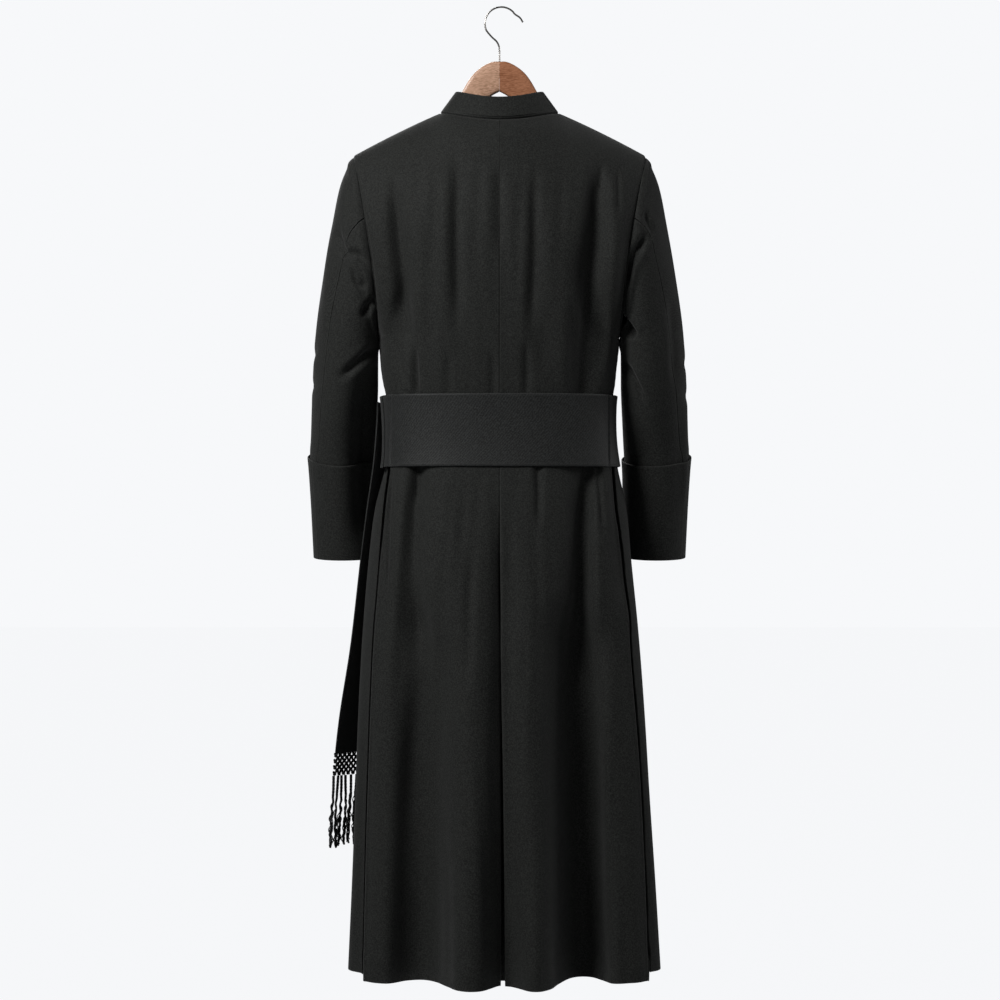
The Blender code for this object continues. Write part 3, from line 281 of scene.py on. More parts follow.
# A crease follows a path drawn on the face it is seen from: (x, z) on the
# back and front, (y, z) on the left and right.  A negative depth is a ridge.
# "gentle" is how much wider its slope is on the side of the wearer's right.
Crease = namedtuple("Crease", "path width depth gentle", defaults=(1.0,))
CREASES = {
    ("body", "back"): [Crease(*row) for row in (
        (((0.166, -0.27), (0.16, -0.37), (0.153, -0.46), (0.145, -0.52), (0.138, -0.58)),
               0.0125, 0.0105),
        (((0.1345, -0.54), (0.132, -0.59), (0.131, -0.64)), 0.0055, 0.008),
        (((0.069, -0.225), (0.067, -0.29), (0.067, -0.38), (0.066, -0.46), (0.065, -0.54)),
               0.0095, 0.0072),
        (((0.052, -0.245), (0.053, -0.29), (0.05, -0.36)), 0.007, 0.0016),
        (((-0.05, -0.25), (-0.055, -0.33), (-0.056, -0.4), (-0.052, -0.47), (-0.046, -0.55)),
               0.0095, 0.0052),
        (((-0.155, -0.235), (-0.1535, -0.31), (-0.149, -0.39), (-0.14, -0.47), (-0.134, -0.55),
                (-0.13, -0.61), (-0.128, -0.68)), 0.0125, 0.0104),
        (((-0.185, -0.262), (-0.187, -0.3), (-0.185, -0.35)), 0.0045, 0.003),
        (((-0.16, -0.255), (-0.161, -0.285), (-0.159, -0.31)), 0.0045, 0.0022),
        (((-0.184, -0.32), (-0.182, -0.38), (-0.176, -0.46), (-0.168, -0.55), (-0.161, -0.62)),
               0.0115, -0.006),
        (((-0.112, -0.46), (-0.116, -0.53), (-0.113, -0.63)), 0.008, 0.0036),
        (((0.0, -0.255), (0.0, -0.33), (0.0, -0.42)), 0.007, 0.003),
        (((-0.041, -0.53), (-0.043, -0.58), (-0.042, -0.64)), 0.006, 0.0034),
        (((0.012, -0.55), (0.01, -0.6), (0.009, -0.64)), 0.006, 0.0028),
        (((0.078, -0.55), (0.08, -0.6), (0.08, -0.64)), 0.007, 0.0024),
        (((0.128, -0.69), (0.1325, -0.74), (0.135, -0.8), (0.1365, -0.87), (0.1375, -0.95),
                (0.139, -1.06)), 0.0105, 0.0115, 2.4),
        (((0.129, -0.69), (0.1335, -0.74), (0.1365, -0.8)), 0.004, 0.005, 2.4),
        (((0.133, -0.9), (0.132, -1.05), (0.133, -1.14), (0.137, -1.26), (0.144, -1.42),
                (0.15, -1.6)), 0.029, 0.017, 1.3),
        (((0.094, -0.95), (0.096, -1.25), (0.102, -1.6)), 0.043, 0.011),
        (((0.169, -0.69), (0.173, -0.8), (0.1775, -0.96)), 0.0026, 0.0036),
        (((0.0427, -0.84), (0.0455, -0.96), (0.05, -1.1)), 0.008, 0.0036),
        (((-0.1418, -0.69), (-0.133, -0.82), (-0.1265, -0.95), (-0.125, -1.1)), 0.0115, 0.0112),
        (((-0.205, -0.9), (-0.205, -1.1), (-0.212, -1.35), (-0.215, -1.6)), 0.02, -0.011),
        (((-0.131, -0.98), (-0.136, -1.2), (-0.142, -1.4), (-0.145, -1.6)), 0.021, 0.008),
        (((-0.13, -0.93), (-0.136, -1.25), (-0.142, -1.6)), 0.062, 0.015),
        (((-0.098, -0.92), (-0.104, -1.25), (-0.11, -1.6)), 0.03, 0.0065),
        (((-0.059, -0.69), (-0.061, -0.76), (-0.062, -0.84)), 0.006, 0.0046),
        (((-0.152, -0.69), (-0.158, -0.77), (-0.163, -0.86)), 0.005, 0.004),
        (((-0.18, -0.69), (-0.184, -0.76), (-0.187, -0.84)), 0.005, 0.003),
    )],
    ("sleeve_right", "back"): [Crease(*row) for row in (
        (((-0.2367, -0.365), (-0.2161, -0.3944), (-0.2018, -0.4197), (-0.1975, -0.4598)),
               0.0058, 0.0102),
        (((-0.19, -0.494), (-0.2034, -0.5179), (-0.2169, -0.534)), 0.0058, 0.0145),
        (((-0.194, -0.56), (-0.2113, -0.5939), (-0.233, -0.634)), 0.0045, 0.0076),
        (((-0.228, -0.33), (-0.234, -0.352), (-0.245, -0.372)), 0.0045, 0.0037),
        (((-0.27, -0.45), (-0.278, -0.53), (-0.28, -0.62)), 0.008, 0.0044),
        (((-0.296, -0.6), (-0.3, -0.7), (-0.296, -0.82)), 0.006, -0.003),
    )],
    ("sleeve_left", "back"): [Crease(*row) for row in (
        (((0.256, -0.35), (0.2515, -0.384), (0.241, -0.403), (0.225, -0.398), (0.213, -0.409),
                (0.201, -0.43)), 0.0046, 0.0066),
        (((0.233, -0.422), (0.225, -0.446), (0.216, -0.452), (0.207, -0.44)), 0.0044, 0.005),
        (((0.193, -0.4664), (0.2082, -0.483), (0.216, -0.5029)), 0.005, 0.0093),
        (((0.19, -0.54), (0.219, -0.567), (0.258, -0.598)), 0.006, 0.009),
        (((0.201, -0.56), (0.206, -0.63), (0.209, -0.7), (0.208, -0.78), (0.208, -0.89)),
               0.027, 0.017),
        (((0.278, -0.3), (0.27, -0.42), (0.276, -0.54)), 0.011, -0.003),
    )],
    ("body", "front"): [Crease(*row) for row in (
        (((0.148, -0.33), (0.15, -0.44), (0.14, -0.56), (0.136, -0.64)), 0.0085, 0.006),
        (((0.086, -0.27), (0.084, -0.38), (0.087, -0.5)), 0.011, 0.0034),
        (((-0.14, -0.3), (-0.143, -0.42), (-0.134, -0.54), (-0.132, -0.64)), 0.0095, 0.0066),
        (((-0.078, -0.29), (-0.075, -0.4), (-0.079, -0.55)), 0.011, 0.0036),
        (((0.108, -0.56), (0.107, -0.6), (0.108, -0.64)), 0.005, 0.004),
        (((-0.104, -0.56), (-0.106, -0.6), (-0.105, -0.64)), 0.005, 0.0042),
        (((0.138, -0.69), (0.146, -0.8), (0.152, -0.92)), 0.008, 0.0085),
        (((-0.132, -0.69), (-0.139, -0.81), (-0.146, -0.96)), 0.009, 0.009),
        (((0.084, -0.69), (0.088, -0.78), (0.094, -0.9)), 0.007, 0.005),
        (((-0.08, -0.69), (-0.085, -0.79), (-0.09, -0.93)), 0.008, 0.0055),
        (((0.15, -1.1), (0.156, -1.28), (0.164, -1.5)), 0.016, 0.006),
        (((-0.158, -1.12), (-0.164, -1.3), (-0.17, -1.5)), 0.017, 0.0062),
    )],
    ("sleeve_left", "front"): [Crease(*row) for row in (
        (((0.248, -0.37), (0.229, -0.394), (0.207, -0.415)), 0.0055, 0.0076),
        (((0.201, -0.505), (0.229, -0.532), (0.26, -0.548)), 0.006, 0.0099),
        (((0.206, -0.59), (0.238, -0.61), (0.272, -0.618)), 0.006, 0.0085),
    )],
    ("sleeve_right", "front"): [Crease(*row) for row in (
        (((-0.25, -0.378), (-0.23, -0.405), (-0.208, -0.428)), 0.0055, 0.0076),
        (((-0.202, -0.52), (-0.232, -0.545), (-0.264, -0.56)), 0.006, 0.0102),
        (((-0.208, -0.6), (-0.24, -0.626), (-0.27, -0.636)), 0.0055, 0.0076),
    )],
    ("sleeve_left", "left"): [Crease(*row) for row in (
        (((0.02, -0.54), (-0.018, -0.556), (-0.052, -0.56)), 0.0075, 0.002),
        (((0.026, -0.6), (-0.02, -0.606), (-0.06, -0.598)), 0.008, 0.0018),
    )],
    ("sleeve_right", "right"): [Crease(*row) for row in (
        (((0.022, -0.552), (-0.016, -0.57), (-0.05, -0.574)), 0.0075, 0.002),
        (((0.016, -0.618), (-0.028, -0.622), (-0.066, -0.612)), 0.008, 0.0018),
    )],
}

LONGEST_FADE = 0.09       # a crease reaches its depth within this distance
PANEL_WIDTH = 0.27        # of a body panel, about
CALM_REACH = 0.02411       # how far a panel's facing is averaged over
HELD_HALF = 0.074         # this near to the fascia's middle line the body's
HELD_RIDGE = 0.0004       # ridges stand no higher than this
CREASE_TURN = 0.45        # a crease is whole where the cloth faces this far to it
SIDEWAYS = {"left": 1.0, "right": -1.0}
PLANES = {"back": (0, 2), "front": (0, 2), "left": (1, 2), "right": (1, 2)}
FACINGS = {"back": (0, 1, 0), "front": (0, -1, 0), "left": (1, 0, 0), "right": (-1, 0, 0)}

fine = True


# ------------------------------------------------------------------ tools

def ease(fraction):
    """0 to 1 with level ends."""
    held = np.clip(fraction, 0.0, 1.0)
    return held * held * (3.0 - 2.0 * held)


def mix(first, second, fraction):
    return first + (second - first) * fraction


def through(knots, values, place):
    """A smooth curve through values at rising knots, level past its ends."""
    knots = np.asarray(knots, float)
    last = len(knots) - 1
    before = np.maximum(np.arange(last + 1) - 1, 0)
    after = np.minimum(np.arange(last + 1) + 1, last)
    gaps = (knots[after] - knots[before]).reshape(-1, *[1] * (values.ndim - 1))
    slopes = (values[after] - values[before]) / gaps
    held = np.clip(place, knots[0], knots[-1])
    index = np.clip(np.searchsorted(knots, held, side="right") - 1, 0, last - 1)
    run = knots[index + 1] - knots[index]
    t = (held - knots[index]) / run
    shape = t.shape + (1,) * (values.ndim - 1)
    t, run = t.reshape(shape), run.reshape(shape)
    rise = t * (1 - t) ** 2 * slopes[index] + t * t * (t - 1) * slopes[index + 1]
    return mix(values[index], values[index + 1], ease(t)) + rise * run


def along(table, height, column):
    """A table's column at each height."""
    knots = [-row.height for row in table]
    values = np.array([getattr(row, column) for row in table])
    return through(knots, values, -np.asarray(height, float))


def bell(away, width):
    return np.exp(-(away / width) ** 2)


def signed_power(value, power):
    return np.abs(value) ** power * np.sign(value)


def stack(x, y, z):
    return np.stack(np.broadcast_arrays(x, y, z), axis=-1).astype(float)


def spaced(count, length, step_first=True, step_last=True):
    """Even fractions, with close ones where an edge is rolled over."""
    steps = np.array([0.0003, 0.0007, 0.0012, 0.002, 0.0032]) / length
    parts = [np.linspace(0.0, 1.0, count + 1)]
    if step_first:
        parts.append(steps)
    if step_last:
        parts.append(1.0 - steps)
    ordered = np.sort(np.concatenate(parts))
    keep = np.concatenate([[True], np.diff(ordered) > 0.00012 / length])
    keep[-1] = True
    return ordered[keep]


# --------------------------------------------------------------- the body

def armhole(angle):
    """The left armhole: 0 at the shoulder tip, pi/2 at the middle of its back."""
    middle = (np.array(SHOULDER_TIP) + UNDERARM) / 2
    half = (np.array(SHOULDER_TIP) - UNDERARM) / 2
    return stack(middle[0] + half[0] * np.cos(angle) - ARMHOLE_BOW * np.sin(angle) ** 2,
                 ARMHOLE_DEPTH * np.sin(angle),
                 middle[2] + half[2] * np.cos(angle))


ARMHOLE_MIDDLE = (SHOULDER_TIP[2] + UNDERARM[2]) / 2
ARMHOLE_HALF = (SHOULDER_TIP[2] - UNDERARM[2]) / 2


def panel_signs(panel):
    face, side = panel.split("_")
    return SIDEWAYS[side], (1.0 if face == "back" else -1.0)


def panel_reach(panel, height):
    face, side = panel.split("_")
    depth = along(SECTIONS, height, face)
    seam = armhole(np.arccos(np.clip((height - ARMHOLE_MIDDLE) / ARMHOLE_HALF, -1.0, 1.0)))
    spread = (1.0 - np.clip(seam[..., 1] / depth, 0, 1) ** ROUNDNESS) ** (1 / ROUNDNESS)
    half = along(SECTIONS, height, side)
    edge = np.minimum(along(EDGES, height, panel), half)
    in_arm = height > UNDERARM[2]
    return (np.where(in_arm, seam[..., 0] / spread, half), depth,
            np.where(in_arm, seam[..., 0], edge))


def full_turn(panel, height):
    """The share of its quarter outline that a panel takes up, as an angle."""
    half, _, edge = panel_reach(panel, height)
    return np.arcsin(np.minimum(1.0, edge / half) ** (ROUNDNESS / 2))


def fold_depth(panel, across, height):
    """Troughs keep their course past the underarm, where the panel's edge turns."""
    knots = np.array([-0.250, -0.300, -0.384, -0.450, -0.530, -0.600, -0.690, -0.800, HEM])
    steady = through(-knots, full_turn(panel, knots), -height)
    across = across * full_turn(panel, height) / steady
    total = np.zeros(np.broadcast(across, height).shape)
    for fold in FOLDS:
        if fold.panel != panel:
            continue
        t = (height - fold.start) / (fold.end - fold.start)
        depth = np.where(t < 0.5, mix(fold.upper, fold.middle, ease(2 * t)),
                         mix(fold.middle, fold.lower, ease(2 * t - 1)))
        away = (across - mix(fold.from_, fold.to, t)) / fold.width
        total += np.where((t >= 0) & (t <= 1.000001), depth * bell(away, 1.0), 0.0)
    return total


def centre_shift(panel, across, height):
    face, side = panel.split("_")
    if face == "back":
        t = ease((height - BAND_BOTTOM) / (HEM - BAND_BOTTOM))
        return PLEAT_DRIFT[side] * t * (1 - across) ** 2
    outward = -FRONT_LAP if side == "left" else FRONT_LAP
    return outward * (1 - across) ** 6 + 0.0 * height


def level_points(panel, across, height):
    sideways, back = panel_signs(panel)
    half, depth, edge = panel_reach(panel, height)
    turn = across * np.arcsin(np.minimum(1.0, edge / half) ** (ROUNDNESS / 2))
    return stack(sideways * half * np.sin(turn) ** (2 / ROUNDNESS),
                 back * depth * np.cos(turn) ** (2 / ROUNDNESS), height)


def neck_points(angle):
    """The collar's seam: 0 at the centre back, pi at the centre front."""
    turned = np.cos(angle)
    behind = turned >= 0
    back = along(SECTIONS, NECK_BACK, "back")
    front = along(SECTIONS, NECK_FRONT, "front")
    reach = np.where(behind, back - NECK_SIDE[1], front + NECK_SIDE[1])
    end = np.where(behind, NECK_BACK, NECK_FRONT)
    return stack(NECK_SIDE[0] * np.sin(angle), NECK_SIDE[1] + reach * turned,
                 mix(NECK_SIDE[2], end, turned ** 2))


def panel_top(panel, across):
    sideways, back = panel_signs(panel)
    quarter = np.clip(across / NECK_SHARE, 0, 1) * pi / 2
    neck = neck_points(quarter if back > 0 else pi - quarter)
    out = np.clip((across - NECK_SHARE) / (1 - NECK_SHARE), 0, 1)[..., None]
    shoulder = mix(np.array(NECK_SIDE), np.array(SHOULDER_TIP), out)
    shoulder[..., 2] += SHOULDER_ARCH * (out * (1 - out))[..., 0]
    top = np.where((across <= NECK_SHARE)[..., None], neck, shoulder)
    top[..., 0] *= sideways
    return top


def yoke_points(panel, across, down):
    """The patch between the neck, the shoulder, the armhole and the middle."""
    face = panel.split("_")[0]
    sideways, back = panel_signs(panel)
    neck = NECK_BACK if face == "back" else NECK_FRONT
    height = mix(neck, ARMHOLE_MIDDLE, 1.0 - np.cos(down * pi / 2))
    middle = stack(0.0, back * along(SECTIONS, height, face), height)
    outer = armhole(down * pi / 2) * (sideways, back, 1.0)
    sunk = np.sin(down * pi / 2)[..., None]
    level = np.full_like(across, ARMHOLE_MIDDLE)
    top, low = panel_top(panel, across), level_points(panel, across, level)
    ends = np.array([[0.0, 1.0]])
    top_ends = panel_top(panel, ends)[0]
    low_ends = level_points(panel, ends, np.full_like(ends, ARMHOLE_MIDDLE))[0]
    wide = across[..., None]
    corners = mix(mix(top_ends[0], low_ends[0], sunk), mix(top_ends[1], low_ends[1], sunk), wide)
    return mix(top, low, sunk) + mix(middle, outer, wide) - corners


def soften(points, across, down):
    """Spreads the corner between neck and shoulder over the yoke below it, and
    keeps each row's two ends."""
    even = np.linspace(0.0, 1.0, SOFT_COLUMNS)
    for r in np.flatnonzero((down > 0.0) & (down < 1.0)):
        row = through(across, points[r], even)
        for _ in range(int(SOFT_ROUNDS * np.sin(pi * down[r] ** 0.6))):
            before, after = 2 * row[:1] - row[1:2], 2 * row[-1:] - row[-2:-1]
            wide = np.concatenate([before, row, after])
            row = 0.25 * wide[:-2] + 0.5 * wide[1:-1] + 0.25 * wide[2:]
        points[r] = through(even, row, across)
    return points


def body_points(panel, across, down):
    """A body panel's surface: "down" is 0 to 1 to the armhole's middle, 1 to 2
    to the underarm and 2 to 3 to the hem."""
    _, back = panel_signs(panel)
    across = np.asarray(across, float)[None, :]
    down = np.asarray(down, float)[:, None]
    blocks = []
    yoke = down[down[:, 0] < 1.0]
    if len(yoke):
        blocks.append(yoke_points(panel, across, yoke))
    arm = down[(down[:, 0] >= 1.0) & (down[:, 0] < 2.0)]
    if len(arm):
        blocks.append(level_points(panel, across, armhole(arm * pi / 2)[..., 2]))
    skirt = down[down[:, 0] >= 2.0]
    if len(skirt):
        blocks.append(level_points(panel, across, mix(UNDERARM[2], HEM, skirt - 2.0)))
    points = np.concatenate([np.broadcast_to(b, (b.shape[0], across.shape[1], 3)) for b in blocks])
    points = soften(points.copy(), across[0], down[:, 0])
    height = points[..., 2]
    points[..., 0] += centre_shift(panel, across, height)
    begun = ease((down - FOLDS_FROM) / FOLDS_OVER)
    points[..., 1] -= back * begun * fold_depth(panel, across, height)
    if panel == "front_right":
        points[..., 1] += LAP_SINK * ease((points[..., 0] - LAP_START) / LAP_RUN)
    return points


def down_at(height):
    return 2 + (height - UNDERARM[2]) / (HEM - UNDERARM[2])


# ----------------------------------------------------------- other pieces

def underlay_points(across, down):
    """The strip behind the open centre pleat."""
    height = mix(PLEAT_TOP, HEM, down)
    x = mix(PLEAT_HALF, -PLEAT_HALF, across)
    dense = np.linspace(0.0, 1.0, 400)
    y = np.empty((len(down), len(across)))
    for panel, chosen in (("back_left", x > 0), ("back_right", x <= 0)):
        rows = body_points(panel, dense, down_at(height))
        for r, row in enumerate(rows):
            y[r, chosen] = np.interp(np.abs(x[chosen]), np.abs(row[:, 0]), row[:, 1])
    bend = np.sin(across * pi).clip(0) ** PLEAT_BEND
    tuck = CLOTH + PLEAT_CLEAR + PLEAT_DEPTH * ease(down[:, None] * PLEAT_OPENS) * bend
    return stack(x[None, :], y - tuck, height[:, None])


def side_points(side, across, down, back_edge):
    """A side pleat, from inside the back's edge round to inside the front's.  It
    lies deep just outside "back_edge", which gives that edge's x at a height."""
    sideways, height = SIDEWAYS[side], mix(PLEAT_TOP, HEM, down)
    half = along(SECTIONS, height, side)[:, None]
    inset = CLOTH + SIDE_CLEAR
    ends = []
    for face, sign in (("back_", -1.0), ("front_", 1.0)):
        edge = body_points(face + side, [1.0], down_at(height))[:, 0]
        ends.append((sideways * edge[:, 0] - SIDE_REACH, edge[:, 1] + sign * inset))
    (x_behind, y_behind), (x_before, y_before) = ends
    across = across[None, :]
    turn = mix(np.arctan2(y_behind, x_behind)[:, None], np.arctan2(y_before, x_before)[:, None],
               across)
    reach = mix(np.hypot(x_behind, y_behind)[:, None], np.hypot(x_before, y_before)[:, None],
                across)
    reach = mix(reach, half, np.sin(across * pi))
    near = np.minimum(across, 1 - across) * 2
    valley = near * (1 - near) ** 2 * 27 / 4
    share = mix(SIDE_HIND_SHARE, 1.0, ease((across - 0.35) / 0.3))
    tuck = SIDE_TUCK * share * ease(down[:, None] * SIDE_OPENS) * valley
    inward = np.where(across < 0.5, 1.0, -1.0)
    x, y = reach * np.cos(turn) - 0.5 * tuck, reach * np.sin(turn) - inward * tuck
    change = ease((height - SLOT_CHANGE[0]) / SLOT_CHANGE[1])
    depth = mix(SLOT_DEPTH[side], SLOT_DEPTH["top"], change)[:, None]
    past = x - back_edge(height)[:, None] - SLOT_WIDTH
    slot = ease(across * SIDE_WIDTH / 0.012) * (1.0 - ease(past / 0.002)) * (across < 0.5)
    return stack(sideways * x, y - depth * slot, height[:, None])


def on_ring(ring, angle):
    share = (1 + np.cos(angle)) / 2
    return stack(mix(ring.inner_x, ring.outer_x, share),
                 ring.middle + ring.depth * np.sin(angle),
                 mix(ring.inner_z, ring.outer_z, share) - ring.drop * np.sin(angle))


def sleeve_points(side, across, down, first, last):
    """A sleeve piece between two seams whose angles change from the armhole
    to the cuff."""
    begin = radians(1.0) * (mix(*first, down) + SEAM_TURN)
    end = radians(1.0) * (mix(*last, down) - SEAM_TURN)
    angle = mix(begin[:, None], end[:, None], across[None, :])
    seam = armhole(angle)
    ring = on_ring(SLEEVE[0], angle)
    gone = np.linalg.norm(ring - seam, axis=-1, keepdims=True)
    start = mix(seam, ring, SLEEVE_START / np.maximum(gone, SLEEVE_START * 1.5))
    knots = np.stack([start] + [on_ring(ring, angle) for ring in SLEEVE])
    place = down * len(SLEEVE)
    points = np.stack([through(np.arange(len(knots)), knots[:, r], place[r:r + 1])[0]
                       for r in range(len(down))])
    return points * (SIDEWAYS[side], 1.0, 1.0)


def ring_at(rings, place):
    """A ring between two of a table's, by its number and the share past it."""
    index = int(min(place, len(rings) - 1.000001))
    return Ring(*(mix(a, b, place - index) for a, b in zip(rings[index], rings[index + 1])))


def cuff_points(side, angle, down):
    last = len(SLEEVE) - 1
    knots = []
    for row in CUFF:
        ring = ring_at(SLEEVE, mix(CUFF_LIP_RING, last, row.down))
        let_out = Ring(ring.outer_x + row.out, ring.outer_z - row.lower, ring.inner_x - row.out,
                       ring.inner_z - row.lower, ring.middle, ring.depth + row.out, ring.drop)
        knots.append(on_ring(let_out, angle))
    points = through(np.arange(len(CUFF)), np.stack(knots), down * (len(CUFF) - 1))
    return points * (SIDEWAYS[side], 1.0, 1.0)


def collar_points(across, down):
    angle = mix(-pi + COLLAR_GAP, pi - COLLAR_GAP, across)
    turned = np.cos(angle)
    low = neck_points(angle)
    low[:, 2] += COLLAR_LIFT * (1.0 + ease(-turned * 2.0))
    reach = np.where(turned >= 0, COLLAR_TOP_BACK, -COLLAR_TOP_FRONT)
    end = np.where(turned >= 0, COLLAR_TOP["back"], COLLAR_TOP["front"])
    top = stack(COLLAR_TOP_HALF * np.sin(angle), reach * turned,
                mix(COLLAR_TOP["side"], end, turned ** 2))
    return mix(top[None], low[None], down[:, None, None])


def waist_points(angle, height, proud):
    """Round the body at the waist: 0 at the wearer's left, pi/2 at the back."""
    turn, rise = np.cos(angle)[None, :], np.sin(angle)[None, :]
    height = height[:, None]
    half = np.where(turn >= 0, along(SECTIONS, height, "left"), along(SECTIONS, height, "right"))
    depth = np.where(rise >= 0, along(SECTIONS, height, "back"), along(SECTIONS, height, "front"))
    return stack((half + proud) * signed_power(turn, 2 / ROUNDNESS),
                 (depth + proud) * signed_power(rise, 2 / ROUNDNESS), height)


def fall_points(fall, across, height):
    rows = FALLS[fall]
    height = height[:, None]
    rear = stack(along(rows, height, "rear_x"), along(rows, height, "rear_y"), height)
    front = stack(along(rows, height, "front_x"), along(rows, height, "front_y"), height)
    bow = along(rows, height, "bow") * np.sin(across * pi)
    return mix(rear, front, across[None, :, None]) + bow[..., None] * FALL_FACING


# -------------------------------------------------------- cloth as a shell

def grid_normals(grid, closed):
    if closed:
        wrapped = np.concatenate([grid[:, -1:], grid, grid[:, :1]], axis=1)
        run = wrapped[:, 2:] - wrapped[:, :-2]
    else:
        run = np.gradient(grid, axis=1)
    drop = np.gradient(grid, axis=0)
    normal = np.cross(run, drop)
    return normal / np.maximum(np.linalg.norm(normal, axis=-1, keepdims=True), 1e-12)


def smooth_path(path):
    """A path with its corners cut twice."""
    points = np.array(path, float)
    for _ in range(2):
        inner = np.empty((2 * len(points) - 2, 2))
        inner[0::2] = mix(points[:-1], points[1:], 0.25)
        inner[1::2] = mix(points[:-1], points[1:], 0.75)
        points = np.vstack([points[:1], inner, points[-1:]])
    return points


def trough(flat, crease):
    """1 along a crease's path, less beside it, and 0 past its ends."""
    path = smooth_path(crease.path)
    lengths = np.linalg.norm(np.diff(path, axis=0), axis=1)
    nearest = np.full(flat.shape[:-1], np.inf)
    gone = np.zeros(flat.shape[:-1])
    aside = np.zeros(flat.shape[:-1])
    start = 0.0
    for a, b, length in zip(path[:-1], path[1:], lengths):
        t = np.clip((flat - a) @ (b - a) / length ** 2, 0, 1)
        between = flat - (a + t[..., None] * (b - a))
        away = np.linalg.norm(between, axis=-1)
        closer = away < nearest
        aside = np.where(closer, between[..., 0], aside)
        gone = np.where(closer, start + t * length, gone)
        nearest = np.where(closer, away, nearest)
        start += length
    fade = min(0.3 * start, LONGEST_FADE)
    reach = nearest / crease.width / np.where(aside < 0, crease.gentle, 1.0)
    profile = bell(reach, 1.0) - 0.15 * bell(reach - 2.1, 1.1)
    return profile * ease(gone / fade) * ease((start - gone) / fade)


def calm(normals, pitch):
    """A panel's facing without its folds."""
    for _ in range(int(2 * (CALM_REACH / pitch) ** 2)):
        wide = np.concatenate([normals[:, :1], normals, normals[:, -1:]], axis=1)
        normals = 0.25 * wide[:, :-2] + 0.5 * wide[:, 1:-1] + 0.25 * wide[:, 2:]
    return normals / np.linalg.norm(normals, axis=-1, keepdims=True)


def crease_grid(grid, normals, group):
    """Moves a grid's points in along its creases."""
    if group == "body":
        normals = calm(normals, PANEL_WIDTH / grid.shape[1])
    depth = np.zeros(grid.shape[:-1])
    for (piece, face), creases in CREASES.items():
        if piece == group:
            seen = ease((normals @ np.array(FACINGS[face], float)) / CREASE_TURN)
            for crease in creases:
                depth += crease.depth * seen * trough(grid[..., PLANES[face]], crease)
    if group == "body":
        under = ease((HELD_HALF - np.abs(grid[..., 2] - BAND_MIDDLE)) / 0.012)
        depth = np.maximum(depth, mix(-1.0, -HELD_RIDGE, under))
    return grid - normals * depth[..., None]


def quads_of(index):
    return np.stack([index[:-1, :-1], index[1:, :-1], index[1:, 1:], index[:-1, 1:]],
                    axis=-1).reshape(-1, 4)


def ring_quads(rows, sides):
    """Quads round a stack of rings, as vertex numbers and as corner numbers."""
    index = np.arange(rows * sides).reshape(rows, sides)
    wrapped = np.concatenate([index, index[:, :1]], axis=1)
    corners = quads_of(np.arange(wrapped.size).reshape(wrapped.shape))
    return wrapped.ravel()[corners], corners


def mesh_object(name, vertices, faces, uvs=None, attributes=None):
    mesh = bpy.data.meshes.new(name)
    mesh.from_pydata(np.asarray(vertices).tolist(), [], np.asarray(faces).tolist())
    mesh.polygons.foreach_set("use_smooth", np.ones(len(mesh.polygons), bool))
    if uvs is not None:
        layer = mesh.uv_layers.new(name="fabric")
        layer.data.foreach_set("uv", np.asarray(uvs, np.float32).ravel())
    for key, values in (attributes or {}).items():
        layer = mesh.attributes.new(key, "FLOAT", "POINT")
        layer.data.foreach_set("value", np.asarray(values, np.float32).ravel())
    made = bpy.data.objects.new(name, mesh)
    bpy.context.scene.collection.objects.link(made)
    return made


def travelled(grid, axis):
    """Distance gone along a grid's rows (axis 1) or columns (axis 0)."""
    steps = np.linalg.norm(np.diff(grid, axis=axis), axis=-1)
    zero = np.zeros_like(np.take(steps, [0], axis=axis))
    return np.concatenate([zero, np.cumsum(steps, axis=axis)], axis=axis)


